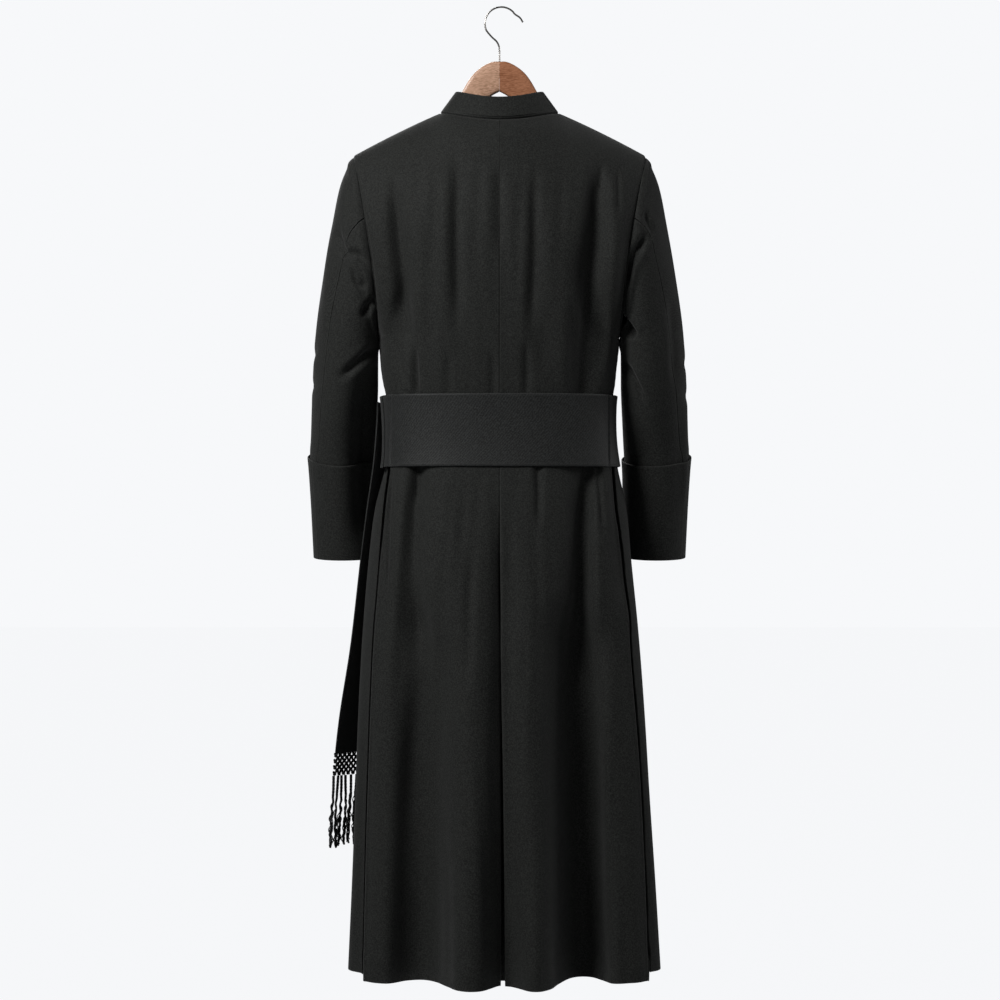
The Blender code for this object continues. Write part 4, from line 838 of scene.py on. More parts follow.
def shell(name, grid, thickness, outward, closed=False, group=None, roll=0.0011,
          stitched="", pucker=0.0, relief=None, firm=1.0):
    """A thin closed shell on a grid of points.  "group" says whose creases it
    takes, and "relief" how far it stands out before them.  Its edges are rolled
    under, the first one tighter where "firm" is more than 1, and "pucker" is the
    depth of the waves that sewing leaves beside them."""
    normals = grid_normals(grid, closed)
    sign = 1.0 if (normals * outward).sum() > 0 else -1.0
    normals *= sign
    if relief is not None:
        grid = grid + normals * relief(grid, travelled(grid, 1), travelled(grid, 0))[..., None]
        normals = sign * grid_normals(grid, closed)
    if group:
        grid = crease_grid(grid, normals, group)
        normals = sign * grid_normals(grid, closed)
    if group == "body":
        normals[:, 0, 0] = 0.0
        normals[:, 0] /= np.linalg.norm(normals[:, 0], axis=-1, keepdims=True)
    ring = np.concatenate([grid, grid[:, :1]], axis=1) if closed else grid
    u, v = travelled(ring, 1), travelled(ring, 0)
    down = v[:, :grid.shape[1]]
    edges = {"top": down, "bottom": down[-1:] - down}
    if not closed:
        edges["first"], edges["last"] = u * firm, u[:, -1:] - u
    rim, sewn = (np.min([edges[edge] for edge in chosen.split() if edge in edges]
                        + [np.ones_like(down)], axis=0)
                 for chosen in ("top bottom first last", stitched))
    inner = grid - normals * thickness
    inside = np.clip(1 - rim / roll, 0, 1)
    drop = roll * (1 - np.sqrt(1 - inside ** 2))
    if pucker:
        wave = np.sin(2 * pi * down / 0.013 + 3 * np.sin(down / 0.031))
        drop = drop - pucker * wave * np.exp(-rim / 0.007) * ease(rim / 0.0015)
    outer = grid - normals * drop[..., None]

    rows, columns = grid.shape[:2]
    vertex = np.arange(rows * columns).reshape(rows, columns)
    if closed:
        vertex = np.concatenate([vertex, vertex[:, :1]], axis=1)
    corner = np.arange(vertex.size).reshape(vertex.shape)
    below = corner + corner.size
    faces = [quads_of(corner), quads_of(below)[:, ::-1],
             quads_of(np.stack([below[0], corner[0]])),
             quads_of(np.stack([corner[-1], below[-1]]))]
    if not closed:
        faces.append(quads_of(np.stack([below[:, 0], corner[:, 0]], axis=1)))
        faces.append(quads_of(np.stack([corner[:, -1], below[:, -1]], axis=1)))
    faces = np.concatenate(faces)
    if sign < 0:
        faces = faces[:, ::-1]
    vertex_of = np.concatenate([vertex.ravel(), vertex.ravel() + rows * columns])
    uv_of = np.stack([u, v], axis=-1).reshape(-1, 2)
    uv_of = np.concatenate([uv_of, uv_of])
    vertices = np.concatenate([outer.reshape(-1, 3), inner.reshape(-1, 3)])
    both = {"rim": np.tile(rim.ravel(), 2), "sewn": np.tile(sewn.ravel(), 2)}
    return mesh_object(name, vertices, vertex_of[faces], uv_of[faces], both)


# -------------------------------------------------------------- materials

class Graph:
    """A material's node tree, made by plain calls that return sockets."""

    def __init__(self, name):
        self.material = bpy.data.materials.new(name)
        self.material.use_nodes = True
        self.tree = self.material.node_tree
        self.shader = self.tree.nodes["Principled BSDF"]

    def put(self, target, value):
        if isinstance(value, bpy.types.NodeSocket):
            self.tree.links.new(value, target)
        else:
            target.default_value = value

    def node(self, kind, output=0, settings=None, **inputs):
        made = self.tree.nodes.new(kind)
        for key, value in (settings or {}).items():
            setattr(made, key, value)
        for key, value in inputs.items():
            self.put(made.inputs[key.replace("_", " ")], value)
        return made.outputs[output]

    def sum(self, operation, first, second=0.0, third=0.0):
        made = self.tree.nodes.new("ShaderNodeMath")
        made.operation = operation
        for socket, value in zip(made.inputs, (first, second, third)):
            self.put(socket, value)
        return made.outputs[0]

    def wave(self, place, pitch):
        """A sine of one turn per pitch, from -1 to 1."""
        return self.sum("SINE", self.sum("MULTIPLY", place, 2 * pi / pitch))

    def blend(self, share, first, second):
        made = self.tree.nodes.new("ShaderNodeMix")
        made.data_type = "RGBA"
        self.put(made.inputs[0], share)
        self.put(made.inputs[6], first)
        self.put(made.inputs[7], second)
        return made.outputs[2]

    def spread(self, value, low, high, to_low, to_high):
        made = self.tree.nodes.new("ShaderNodeMapRange")
        made.interpolation_type = "SMOOTHSTEP"
        for socket, given in zip(made.inputs, (value, low, high, to_low, to_high)):
            self.put(socket, given)
        return made.outputs[0]

    def fabric(self):
        """Metres across the cloth and metres down it."""
        parts = self.tree.nodes.new("ShaderNodeSeparateXYZ")
        self.put(parts.inputs[0], self.node("ShaderNodeUVMap", settings={"uv_map": "fabric"}))
        return parts.outputs[0], parts.outputs[1]

    def place(self):
        return self.node("ShaderNodeTexCoord", output=3)

    def stretched(self, share):
        """Places drawn out along the slope of a hanger's arm."""
        return self.node("ShaderNodeMapping", Vector=self.place(), Scale=(1.0, share, share),
                         Rotation=(0.0, radians(24.0), 0.0))

    def noise(self, scale, detail=2.0, vector=None):
        return self.node("ShaderNodeTexNoise", Vector=vector or self.place(), Scale=scale,
                         Detail=detail, Roughness=0.55)

    def attribute(self, name):
        return self.node("ShaderNodeAttribute", output=2, settings={"attribute_name": name})

    def bump(self, height, distance, strength=1.0):
        normal = self.node("ShaderNodeBump", Height=height, Distance=distance, Strength=strength)
        self.tree.links.new(normal, self.shader.inputs["Normal"])

    def finish(self, **inputs):
        for key, value in inputs.items():
            self.put(self.shader.inputs[key.replace("_", " ")], value)
        return self.material


def shade(colour, share):
    return (*(channel * share for channel in colour), 1.0)


def cloth_material(name, colour, pitch, sheen, roughness, specular):
    """Woven cloth: diagonal twill, nap, soft unevenness, paler edges that are partly wear and
    partly a painted highlight of folded edges catching the light, and a line of small
    stitches beside a sewn edge."""
    graph = Graph(name)
    u, v = graph.fabric()
    slant = graph.sum("ADD", u, graph.sum("MULTIPLY", v, 0.84))
    across = graph.sum("SUBTRACT", u, graph.sum("MULTIPLY", v, 1.2))
    weave = graph.sum("MULTIPLY_ADD", graph.wave(across, pitch * 0.7), 0.35,
                      graph.wave(slant, pitch))
    nap = graph.noise(1400.0, 2.0)
    slub = graph.noise(520.0, 3.0)
    cloud = graph.noise(13.0, 5.0)
    rim = graph.attribute("rim")
    sewn = graph.attribute("sewn")
    # Paler near the edges: partly wear, partly a painted highlight where folded edges catch the
    # light.
    wear_and_edge_highlight = graph.sum("MULTIPLY", graph.spread(rim, 0.0004, 0.0034, 1.0, 0.0),
                     graph.spread(graph.noise(55.0, 3.0), 0.32, 0.68, 0.35, 1.0))
    beside = graph.sum("ABSOLUTE", graph.sum("SUBTRACT", sewn, 0.0034))
    nearer = graph.sum("ADD", u, v)
    dash = graph.spread(graph.wave(nearer, 0.0034), -0.35, 0.1, 0.0, 1.0)
    stitch = graph.sum("MULTIPLY", graph.spread(beside, 0.0002, 0.0006, 1.0, 0.0), dash)
    dip = graph.spread(beside, 0.0004, 0.0016, 1.0, 0.0)

    tone = graph.blend(graph.spread(cloud, 0.3, 0.7, 0.0, 1.0), shade(colour, 0.62),
                       shade(colour, 0.88))
    thread = graph.sum("MULTIPLY_ADD", weave, 0.07, slub)
    tone = graph.blend(graph.spread(thread, 0.36, 0.66, 0.0, 0.90), tone, shade(colour, 2.35))
    # Lightens the edges: wear and a painted highlight together.
    tone = graph.blend(graph.sum("MULTIPLY", wear_and_edge_highlight, 0.45), tone, shade(colour, 2.8))
    tone = graph.blend(graph.sum("MULTIPLY", stitch, 0.6), tone, shade(colour, 2.0))
    rough = graph.sum("MULTIPLY_ADD", graph.spread(cloud, 0.3, 0.7, 0.0, 1.0), 0.08,
                      roughness - 0.04)
    rough = graph.sum("MULTIPLY_ADD", wear_and_edge_highlight, -0.12, rough)
    height = graph.sum("MULTIPLY_ADD", weave, 0.22, graph.sum("MULTIPLY", nap, 0.45))
    height = graph.sum("MULTIPLY_ADD", slub, 0.55, height)
    height = graph.sum("MULTIPLY_ADD", stitch, 1.4, height)
    height = graph.sum("MULTIPLY_ADD", dip, -0.9, height)
    graph.bump(height, 0.00022, 0.8)
    return graph.finish(Base_Color=tone, Roughness=rough, Sheen_Weight=sheen,
                        Sheen_Roughness=0.45, Specular_IOR_Level=specular)


def cord_material(name, colour, pitch):
    """Twisted yarn: slanting strands round a cord, with loose fibres."""
    graph = Graph(name)
    u, v = graph.fabric()
    twist = graph.wave(graph.sum("MULTIPLY_ADD", u, pitch * 2, v), pitch)
    fuzz = graph.noise(900.0, 3.0)
    cloud = graph.noise(60.0, 3.0)
    tone = graph.blend(graph.spread(twist, -1.0, 1.0, 0.0, 1.0), shade(colour, 0.5),
                       shade(colour, 1.45))
    tone = graph.blend(graph.spread(cloud, 0.35, 0.65, 0.0, 0.45), tone, shade(colour, 1.9))
    rough = graph.sum("MULTIPLY_ADD", fuzz, 0.3, 0.5)
    height = graph.sum("MULTIPLY_ADD", twist, 0.6, graph.sum("MULTIPLY", fuzz, 0.5))
    graph.bump(height, 0.0004)
    return graph.finish(Base_Color=tone, Roughness=rough, Sheen_Weight=0.25,
                        Sheen_Roughness=0.4, Specular_IOR_Level=0.3)


def wood_material(name, dark, light):
    """Varnished beech with grain along the arm and short pores."""
    graph = Graph(name)
    rings = graph.noise(16.0, 5.0, graph.stretched(9.0))
    pores = graph.noise(110.0, 3.0, graph.stretched(14.0))
    cloud = graph.noise(22.0, 3.0)
    grain = graph.wave(rings, 0.085)
    tone = graph.blend(graph.spread(grain, -1.0, 1.0, 0.0, 1.0), (*dark, 1.0), (*light, 1.0))
    tone = graph.blend(graph.spread(cloud, 0.35, 0.7, 0.0, 0.5), tone, shade(light, 1.12))
    tone = graph.blend(graph.spread(pores, 0.58, 0.72, 0.0, 0.55), tone, shade(dark, 0.55))
    rough = graph.sum("MULTIPLY_ADD", cloud, 0.16, 0.28)
    height = graph.sum("MULTIPLY_ADD", pores, -0.5, graph.sum("MULTIPLY", grain, 0.12))
    graph.bump(height, 0.00025, 0.7)
    return graph.finish(Base_Color=tone, Roughness=rough, Coat_Weight=0.35,
                        Coat_Roughness=0.18)


def steel_material():
    """Nickelled wire with fine drawn lines and dull patches."""
    graph = Graph("hook_steel")
    patches = graph.noise(140.0, 4.0)
    lines = graph.noise(1500.0, 2.0, graph.node("ShaderNodeMapping", Vector=graph.place(),
                                                Scale=(1.0, 1.0, 0.05)))
    tone = graph.blend(graph.spread(patches, 0.4, 0.7, 0.0, 1.0), (0.62, 0.60, 0.57, 1.0),
                       (0.34, 0.32, 0.30, 1.0))
    rough = graph.sum("MULTIPLY_ADD", patches, 0.3, 0.12)
    graph.bump(lines, 0.00005, 0.5)
    return graph.finish(Base_Color=tone, Roughness=rough, Metallic=1.0)


wool = cloth_material("wool_twill", (0.0137, 0.0144, 0.0133), 0.0016, 0.10, 0.78, 0.22)
silk = cloth_material("fascia_faille", (0.0147, 0.0155, 0.0151), 0.0048, 0.12, 0.62, 0.30)
yarn = cord_material("fringe_yarn", (0.0060, 0.0061, 0.0062), 0.0042)
# Both hanger halves are one beech: the left copy is painted lighter and the right copy darker,
# painted light and shade for the lamp falling from the left.
light_wood = wood_material("hanger_wood_left_painted_lighter", (0.48, 0.258, 0.155), (0.80, 0.49, 0.335))
dark_wood = wood_material("hanger_wood_right_painted_darker", (0.32, 0.120, 0.053), (0.53, 0.230, 0.120))
steel = steel_material()


# ----------------------------------------------------------------- pieces

def dress(piece, material, slot, *nodes):
    """Gives a piece its material and its body, and hides the nodes it stands for.  The slot is not
    used.
    """
    piece.data.materials.append(material)
    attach(piece, "root")
    if nodes:
        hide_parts(*nodes)
    return piece


def from_axis(grid):
    """Directions away from the body's middle line."""
    return grid * (1.0, 1.0, 0.0)


BODY_COLUMNS = {"back": 116, "front": 66} if fine else {"back": 76, "front": 40}
YOKE_ROWS, ARM_ROWS, SKIRT_ROWS = (36, 34, 160) if fine else (20, 20, 90)
YOKE_LENGTH = 0.16
ARM_ROWS_END = 1.88


def body_downs():
    """A body panel's rows, close at its two ends.  They stop short of the
    underarm, where the armhole runs level and they would bunch up."""
    steps = np.array([0.0003, 0.0008, 0.0014, 0.0024])
    arm = np.linspace(1, 2, ARM_ROWS, endpoint=False)
    return np.sort(np.concatenate([
        np.linspace(0, 1, YOKE_ROWS, endpoint=False), arm[arm < ARM_ROWS_END],
        np.linspace(2, 3, SKIRT_ROWS + 1), steps / YOKE_LENGTH, 3.0 - steps]))


PANEL_SEEDS = {"back_left": 1, "back_right": 2, "front_left": 3, "front_right": 4}


def ripples(points, seed):
    """Slow upright ripples that wander, none of them under the fascia."""
    rng = np.random.default_rng(seed)
    x, height = points[..., 0], points[..., 2]
    total = np.zeros_like(x)
    for wavelength in (0.021, 0.033, 0.052, 0.081):
        phase, wander, lean = rng.uniform(0, 2 * pi, 3)
        course = x + 0.012 * np.sin(height * 7.0 + wander) + 0.02 * height * np.sin(lean)
        swell = 0.5 + 0.5 * np.sin(height * 9.0 + x * 17.0 + lean)
        total += wavelength * 0.018 * swell * np.sin(2 * pi * course / wavelength + phase)
    clear = ease((np.abs(height - BAND_MIDDLE) - 0.062) / 0.05)
    return total * clear * ease((NECK_FRONT - 0.02 - height) / 0.08)


HEM_STEP = 0.0006         # where the turned-up hem ends
HEM_TURNED = 0.041        # its height
ARMHOLE_GROOVE = 0.0020
NECK_GROOVE = 0.0026
PRESSED_RIDGE = 0.0016    # down a skirt panel's free edge
PLEAT_SINK = 0.0100       # how far the left back's edge dips into the centre pleat


def body_panel(panel):
    face = panel.split("_")[0]
    sideways, back = panel_signs(panel)
    across = spaced(BODY_COLUMNS[face], PANEL_WIDTH)
    downs = body_downs()
    grid = body_points(panel, across, downs)
    grid[0, :, 1] += back * SEAM / 2
    if face == "back":
        grid[:, 0, 0] += sideways * SEAM / 2
    grid[downs >= 2, -1, 1] += back * SEAM / 2

    def relief(points, run, drop):
        """What the sewing and pressing leave, and slow ripples where it hangs."""
        height, from_edge = points[..., 2], run[:, -1:] - run
        arm = ease((height - UNDERARM[2] + 0.01) / 0.02)
        pressed = ease((PLEAT_TOP - height) / 0.03)
        neck = ease((NECK_SHARE * 1.1 - across) / (NECK_SHARE * 0.2))
        pleat = ease((PLEAT_TOP - 0.06 - height) / 0.14)
        total = (HEM_STEP * ease((HEM + HEM_TURNED - height) / 0.004)
                 + ripples(points, PANEL_SEEDS[panel]) * ease(run / 0.025)
                 - ARMHOLE_GROOVE * arm * bell(from_edge, 0.0026)
                 - NECK_GROOVE * neck * bell(drop, 0.0034)
                 + PRESSED_RIDGE * pressed * bell(from_edge - 0.0035, 0.0022))
        if panel == "back_left":
            total -= PLEAT_SINK * pleat * np.exp(-run / 0.0095)
        if panel == "back_right":
            total += PRESSED_RIDGE * pleat * bell(run - 0.004, 0.0050)
        return total

    sewn_up = ease((grid[..., 2] - BAND_MIDDLE) / 0.02)
    firm = 2.2 if panel == "back_left" else 1.0 + 1.2 * sewn_up
    made = shell("cloth_" + panel, grid, CLOTH, from_axis(grid), group="body",
                 relief=relief, pucker=0.00022, firm=firm)
    return dress(made, wool, "wool", panel)


def shell_side(made, side):
    """A body panel's outer face (0) or its inner one (1), row by row."""
    points = np.empty(3 * len(made.data.vertices))
    made.data.vertices.foreach_get("co", points)
    return points.reshape(2, len(body_downs()), -1, 3)[side]


GROOVE_PITCH = 0.0011     # between the close columns that draw the side pleat's groove
TURNING_CLOTH = 0.0007    # thickness of a seam's turnings, pressed flat
TURNING_CLEAR = 0.0004    # between them and the cloth that they lie on
TURNED_IN = 0.020         # width of the turnings beside a side pleat
TURNED_AT = 0.0065        # how far behind the panel's edge they stand
TURNED_LEAN = 0.1         # they slope toward the middle by this share of their width
ARMHOLE_INSIDE = 0.96     # the armhole's turnings run at this share of its size
ARMHOLE_ACROSS = (-0.0105, 0.0015)      # and from here to here across its seam


def turnings(name, grid, outward, closed=False):
    """A narrow strip inside a seam."""
    made = shell(name, grid, TURNING_CLOTH, outward, closed, roll=0.0004)
    return dress(made, wool, "wool")


def seam_turnings(left, right):
    """The centre seam's turnings, pressed open inside the back, to the pleat."""
    grid = []
    for down, *halves in zip(body_downs(), shell_side(left, 1), shell_side(right, 1)):
        if 0.02 < down < down_at(PLEAT_TOP + 0.012):
            line = [(x, *(np.interp(abs(x), np.abs(half[:, 0]), half[:, k]) for k in (1, 2)))
                    for half, places in zip(halves, ((0.008, 0.006, 0.003, 0.001),
                                                     (-0.001, -0.003, -0.006, -0.008)))
                    for x in places]
            grid.append(line)
    grid = np.array(grid) - (0.0, TURNING_CLEAR, 0.0)
    return turnings("back_seam_turnings", grid, np.array([0.0, 1.0, 0.0]))


def side_pleat(side, back):
    """The side pleat's cloth, with close columns across its groove."""
    points = shell_side(back, 0)
    height, edge = -points[:, -1, 2], np.abs(points[..., 0]).max(axis=1)
    close = np.arange(9, 45) * GROOVE_PITCH / SIDE_WIDTH
    across = np.sort(np.concatenate([spaced(50 if fine else 30, SIDE_WIDTH), close]))
    grid = side_points(side, across, spaced(120 if fine else 60, 0.83),
                       lambda place: np.interp(-place, height, edge))
    piece = shell("cloth_side_" + side, grid, CLOTH, from_axis(grid))
    return dress(piece, wool, "wool", "side_" + side)


def pleat_turnings(panel, cloth):
    """A panel's turned-in edge, which closes the gap to the side pleat behind it."""
    sideways, back = panel_signs(panel)
    inside, grid = shell_side(cloth, 1), []
    for row, down in list(zip(inside, body_downs()))[::2]:
        if down > down_at(PLEAT_TOP):
            x, y = np.abs(row[:, 0]), row[:, 1]
            last = x.argmax() + 1
            start = x.max() - TURNED_AT
            edge = np.interp(start, x[:last], y[:last]) - back * TURNING_CLEAR
            grid.append([(sideways * (start - TURNED_LEAN * gone), edge - back * gone, row[-1, 2])
                         for gone in np.linspace(0.0, TURNED_IN, 4)])
    return turnings("pleat_turnings_" + panel, np.array(grid), np.array([sideways, 0.0, 0.0]))


def armhole_turnings(side):
    """The armhole's turnings, a strip round the inside of its seam."""
    seam = armhole(np.linspace(0, 2 * pi, 144 if fine else 72, endpoint=False))
    middle = seam.mean(axis=0)
    inside = middle + (seam - middle) * ARMHOLE_INSIDE
    aside = np.linspace(*ARMHOLE_ACROSS, 6)
    grid = inside[None] + stack(aside, 0.0, 0.0)[:, None]
    away = np.broadcast_to((seam - middle)[None], grid.shape)
    turned = np.array([SIDEWAYS[side], 1.0, 1.0])
    return turnings("armhole_turnings_" + side, grid * turned, away * turned, closed=True)


def sleeve_head(points, run, drop):
    """The sleeve dips into its seam and stands full just past it."""
    return 0.0022 * bell(drop - 0.0110, 0.0065) - 0.0018 * bell(drop, 0.0030)


def sleeve_pieces(side):
    rows = spaced(140 if fine else 90, 0.62)
    angles = np.linspace(0, 2 * pi, 24, endpoint=False)
    rings = [armhole(angles).mean(0)] + [on_ring(ring, angles).mean(0) for ring in SLEEVE]
    hub = through(np.arange(len(rings)), np.array(rings), rows * len(SLEEVE))
    hub = hub * (SIDEWAYS[side], 1.0, 1.0)
    front_seam = tuple(angle - 360 for angle in FORE_SEAM)
    for name, first, last, width in (("sleeve_under_", HIND_SEAM, FORE_SEAM, 0.27),
                                     ("sleeve_top_", front_seam, HIND_SEAM, 0.40)):
        across = spaced(int(width * (230 if fine else 150)), width)
        grid = sleeve_points(side, across, rows, first, last)
        piece = shell("cloth_" + name + side, grid, CLOTH, grid - hub[:, None],
                      group="sleeve_" + side, relief=sleeve_head, pucker=0.0002)
        dress(piece, wool, "wool", name + side)


CUFF_RADIUS = 0.055       # mean, turns an angle at the seam into a distance


def cuff(side):
    turns = np.linspace(0, 2 * pi, 152 if fine else 72, endpoint=False)
    grid = cuff_points(side, turns, spaced(36 if fine else 20, 0.16))
    middle = grid.mean(axis=1, keepdims=True)

    def seam_line(points, run, drop):
        """The seam up the cuff, pressed open, with a ridge beside it."""
        turned = np.broadcast_to(turns, points.shape[:2]) - radians(HIND_SEAM[1])
        away = turned * CUFF_RADIUS
        return 0.0007 * bell(away - 0.0022, 0.0016) - 0.0009 * bell(away, 0.0011)

    piece = shell("cloth_cuff_" + side, grid, CLOTH, grid - middle, closed=True,
                  group="sleeve_" + side, stitched="top", relief=seam_line, roll=0.0013)
    return dress(piece, wool, "wool", "cuff_" + side)


def collar():
    grid = collar_points(spaced(130 if fine else 60, 0.42), spaced(22 if fine else 12, 0.04))
    piece = shell("cloth_collar", grid, COLLAR_CLOTH, from_axis(grid), stitched="top first last",
                  roll=0.0016)
    return dress(piece, wool, "wool", "collar")


HOLE_MIDDLE = 0.0062      # from the middle line to a buttonhole's middle
HOLE_HALF = 0.0058
HOLE_THREAD = 0.00055     # radius of its stitches
HOLE_RISE = 0.0003        # how far their middle stands off the cloth
LAYER_EDGES = (0.1722, -0.1725)     # where a hidden layer's edge shows through


def band_turns():
    """Even angles, with close ones at the two places where a layer ends."""
    turns = [np.linspace(0, 2 * pi, 200 if fine else 100, endpoint=False)]
    for x in LAYER_EDGES:
        half = along(SECTIONS, BAND_MIDDLE, "left" if x > 0 else "right") + BAND_PROUD
        angle = np.arccos(signed_power(x / half, ROUNDNESS / 2))
        turns.append(angle + radians(1.0) * np.linspace(-3.0, 3.0, 19))
    return np.unique(np.concatenate(turns).round(4))


def layer_edges(points, run, drop):
    """A sharp groove on the back where a layer ends, proud outside it."""
    x, total = points[..., 0], 0.0
    for edge in LAYER_EDGES:
        away = (x - edge) * np.sign(edge)
        total = total - 0.0017 * bell(away, 0.0013) + 0.0006 * ease(away / 0.004)
    return total * (points[..., 1] > 0)


def fascia():
    down = spaced(36 if fine else 18, 0.113)
    grid = waist_points(band_turns(), mix(BAND_TOP, BAND_BOTTOM, down), BAND_PROUD)
    band = shell("fascia_band_cloth", grid, BAND_CLOTH, from_axis(grid), closed=True,
                 roll=0.0017, stitched="top bottom", relief=layer_edges)
    dress(band, silk, "sash", "fascia_band")
    turns = mix(*END_SPAN, spaced(60 if fine else 30, 0.16))
    height = mix(BAND_TOP - END_DROP[0], BAND_BOTTOM - END_DROP[1], down)
    grid = waist_points(turns, height, END_PROUD)
    end = shell("fascia_end_cloth", grid, BAND_CLOTH, from_axis(grid), roll=0.0017,
                stitched="top bottom last")
    dress(end, silk, "sash", "fascia_end")


def net_drop(across, share):
    """How much lower a place on a fall hangs; it grows to its front edge's foot."""
    return NET_SLANT * across[None, :] * share[:, None] ** 3


def fall(which):
    rows = spaced(110 if fine else 60, 0.557)
    across = spaced(26 if fine else 14, 0.095)
    grid = fall_points(which, across, mix(FALL_TOP, NET_TOP + SEAM / 2, rows))
    grid[..., 2] -= net_drop(across, rows)
    piece = shell(f"fascia_fall_{which}_cloth", grid, BAND_CLOTH, np.array(FALL_FACING),
                  roll=0.0017, stitched="first last bottom")
    return dress(piece, silk, "sash", "fall_" + which)


def tube(path, radius, sides):
    """Vertices, faces and corner uvs of a tube along a path."""
    path = np.asarray(path, float)
    tangent = np.gradient(path, axis=0)
    tangent /= np.linalg.norm(tangent, axis=1, keepdims=True)
    guide = np.array([0.31, 0.92, 0.17]) if abs(tangent[0] @ [0, 1, 0]) < 0.8 else np.array(
        [1.0, 0.1, 0.2])
    first = np.cross(tangent, guide)
    first /= np.linalg.norm(first, axis=1, keepdims=True)
    second = np.cross(tangent, first)
    radius = np.broadcast_to(radius, len(path))
    turns = np.linspace(0, 2 * pi, sides, endpoint=False)
    vertices = (path[:, None] + radius[:, None, None] * (
        np.cos(turns)[None, :, None] * first[:, None] + np.sin(turns)[None, :, None]
        * second[:, None]))
    faces, corners = (quads[:, ::-1] for quads in ring_quads(len(path), sides))
    gone = np.concatenate([[0.0], np.cumsum(np.linalg.norm(np.diff(path, axis=0), axis=1))])
    uv = np.stack(np.broadcast_arrays(np.linspace(0, 1, sides + 1)[None, :], gone[:, None]), -1)
    return vertices.reshape(-1, 3), faces, uv.reshape(-1, 2)[corners]


def joined(name, tubes, material, slot, *nodes):
    vertices, faces, uvs, offset = [], [], [], 0
    for points, quads, uv in tubes:
        vertices.append(points)
        faces.append(quads + offset)
        uvs.append(uv)
        offset += len(points)
    made = mesh_object(name, np.concatenate(vertices), np.concatenate(faces),
                       np.concatenate(uvs).reshape(-1, 2))
    return dress(made, material, slot, *nodes)


STRANDS = 9               # gaps between a fringe's strands, and between its net's knots
NET_ROWS = 3.5            # knots down the net
NET_CORD = 0.002          # radius
NET_SINK = 0.0012         # the net's middle lies this far behind the fall's face
NET_LACE = 0.0011         # and its cords cross this far before and behind it
FRINGE_OVERLAP = 0.0008   # the net and the strands reach past each other by this
STRAND = 0.0023           # a strand's radius while it is twisted,
STRAND_LOOSE = 0.0017     # and where it has come undone
STRAYS = 7                # loose yarns on each strand
STRAY = 0.0009


def on_fall(which, across, height):
    """A point on a fall's face, or on the fringe that hangs in line with it."""
    point = fall_points(which, np.array([across]), np.array([height]))[0, 0]
    return point - (0.0, 0.0, NET_SLANT * across)


def net(which):
    """The netted band under a fall: slanting cords that cross over and under."""
    cords = []
    for k in range(-4, STRANDS + 1):
        for lean in (1, -1):
            line = []
            for step in np.linspace(0, NET_ROWS, 36):
                across = (k + (step if lean > 0 else NET_ROWS - step)) / STRANDS
                if -0.001 <= across <= 1.001:
                    height = mix(NET_TOP - FRINGE_OVERLAP, FRINGE_TOP + FRINGE_OVERLAP,
                                 step / NET_ROWS)
                    out = NET_LACE * lean * np.sin(step * 2 * pi) - NET_SINK
                    line.append(on_fall(which, across, height) + np.array(FALL_FACING) * out)
            if len(line) > 4:
                cords.append(tube(line, NET_CORD, 6))
    return joined(f"fringe_net_{which}", cords, yarn, "fringe", "net_" + which)


def fringe(which):
    """The strands below a net: twisted at the top, and undone lower down."""
    rng = np.random.default_rng(3 if which == "rear" else 8)
    span = np.linspace(0, 1, 46)
    loose = ease((span - 0.16) / 0.35)
    hung = []
    for k in range(STRANDS + 1):
        across = np.clip((k + rng.uniform(-0.15, 0.15)) / STRANDS, 0.01, 0.99)
        end = FRINGE_END + rng.uniform(0.000, 0.007)
        line = np.array([on_fall(which, across, height)
                         for height in mix(FRINGE_TOP - FRINGE_OVERLAP, end, span)])
        phase = rng.uniform(0, 2 * pi, 3)
        line[:, 0] += (loose * 0.001 * np.sin(span * 34 + phase[0])
                       + 0.0012 * np.sin(span * 5 + phase[1]))
        line[:, 1] += loose * 0.001 * np.cos(span * 29 + phase[2])
        radius = mix(STRAND + 0.0002 * np.sin(span * 150), STRAND_LOOSE, loose)
        hung.append(tube(line, radius, 7))
        for _ in range(STRAYS):
            start = int(rng.integers(7, 24))
            phase = rng.uniform(0, 2 * pi, 4)
            gone = span[start:]
            away = ease((gone - span[start]) / 0.25)
            stray = line[start:].copy()
            stray[:, 0] += away * (0.0009 * np.sin(gone * 47 + phase[0])
                                   + rng.uniform(-0.003, 0.003))
            stray[:, 1] += away * (0.0009 * np.cos(gone * 43 + phase[1])
                                   + rng.uniform(-0.003, 0.003))
            stray[:, 2] += away * rng.uniform(0.0, 0.010)
            hung.append(tube(stray, STRAY, 4))
    return joined(f"fringe_strands_{which}", hung, yarn, "fringe", "fringe_" + which)


BUTTONS = sorted(name for name in frame["nodes"] if name.startswith("button_"))
# A button's profile from its dome to its back, as shares of its half sizes.
BUTTON_PROFILE = ((0.0, 1.0), (0.30, 0.97), (0.58, 0.86), (0.80, 0.66), (0.93, 0.40),
                  (1.0, 0.08), (0.99, -0.30), (0.86, -0.72), (0.60, -0.96), (0.0, -1.0))


def buttons():
    """Covered buttons: a low dome over a moulded rim, on the front's edge."""
    sides = 28 if fine else 14
    turns = np.linspace(0, 2 * pi, sides + 1)
    radius, rise = (np.array(column)[:, None] for column in zip(*BUTTON_PROFILE))
    faces, corners = ring_quads(len(BUTTON_PROFILE), sides)
    shapes = []
    for name in BUTTONS:
        low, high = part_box(name)
        centre, half = (low + high) / 2, (high - low) / 2
        x = centre.x + half.x * radius * np.cos(turns)[None]
        z = centre.z + half.z * radius * np.sin(turns)[None]
        y = centre.y - half.y * rise + 0.0 * x
        points = np.stack([x, y, z], axis=-1)[:, :-1]
        uv = np.stack([x, z], axis=-1).reshape(-1, 2)
        shapes.append((points.reshape(-1, 3), faces, uv[corners]))
    return joined("covered_buttons", shapes, wool, "wool", *BUTTONS)


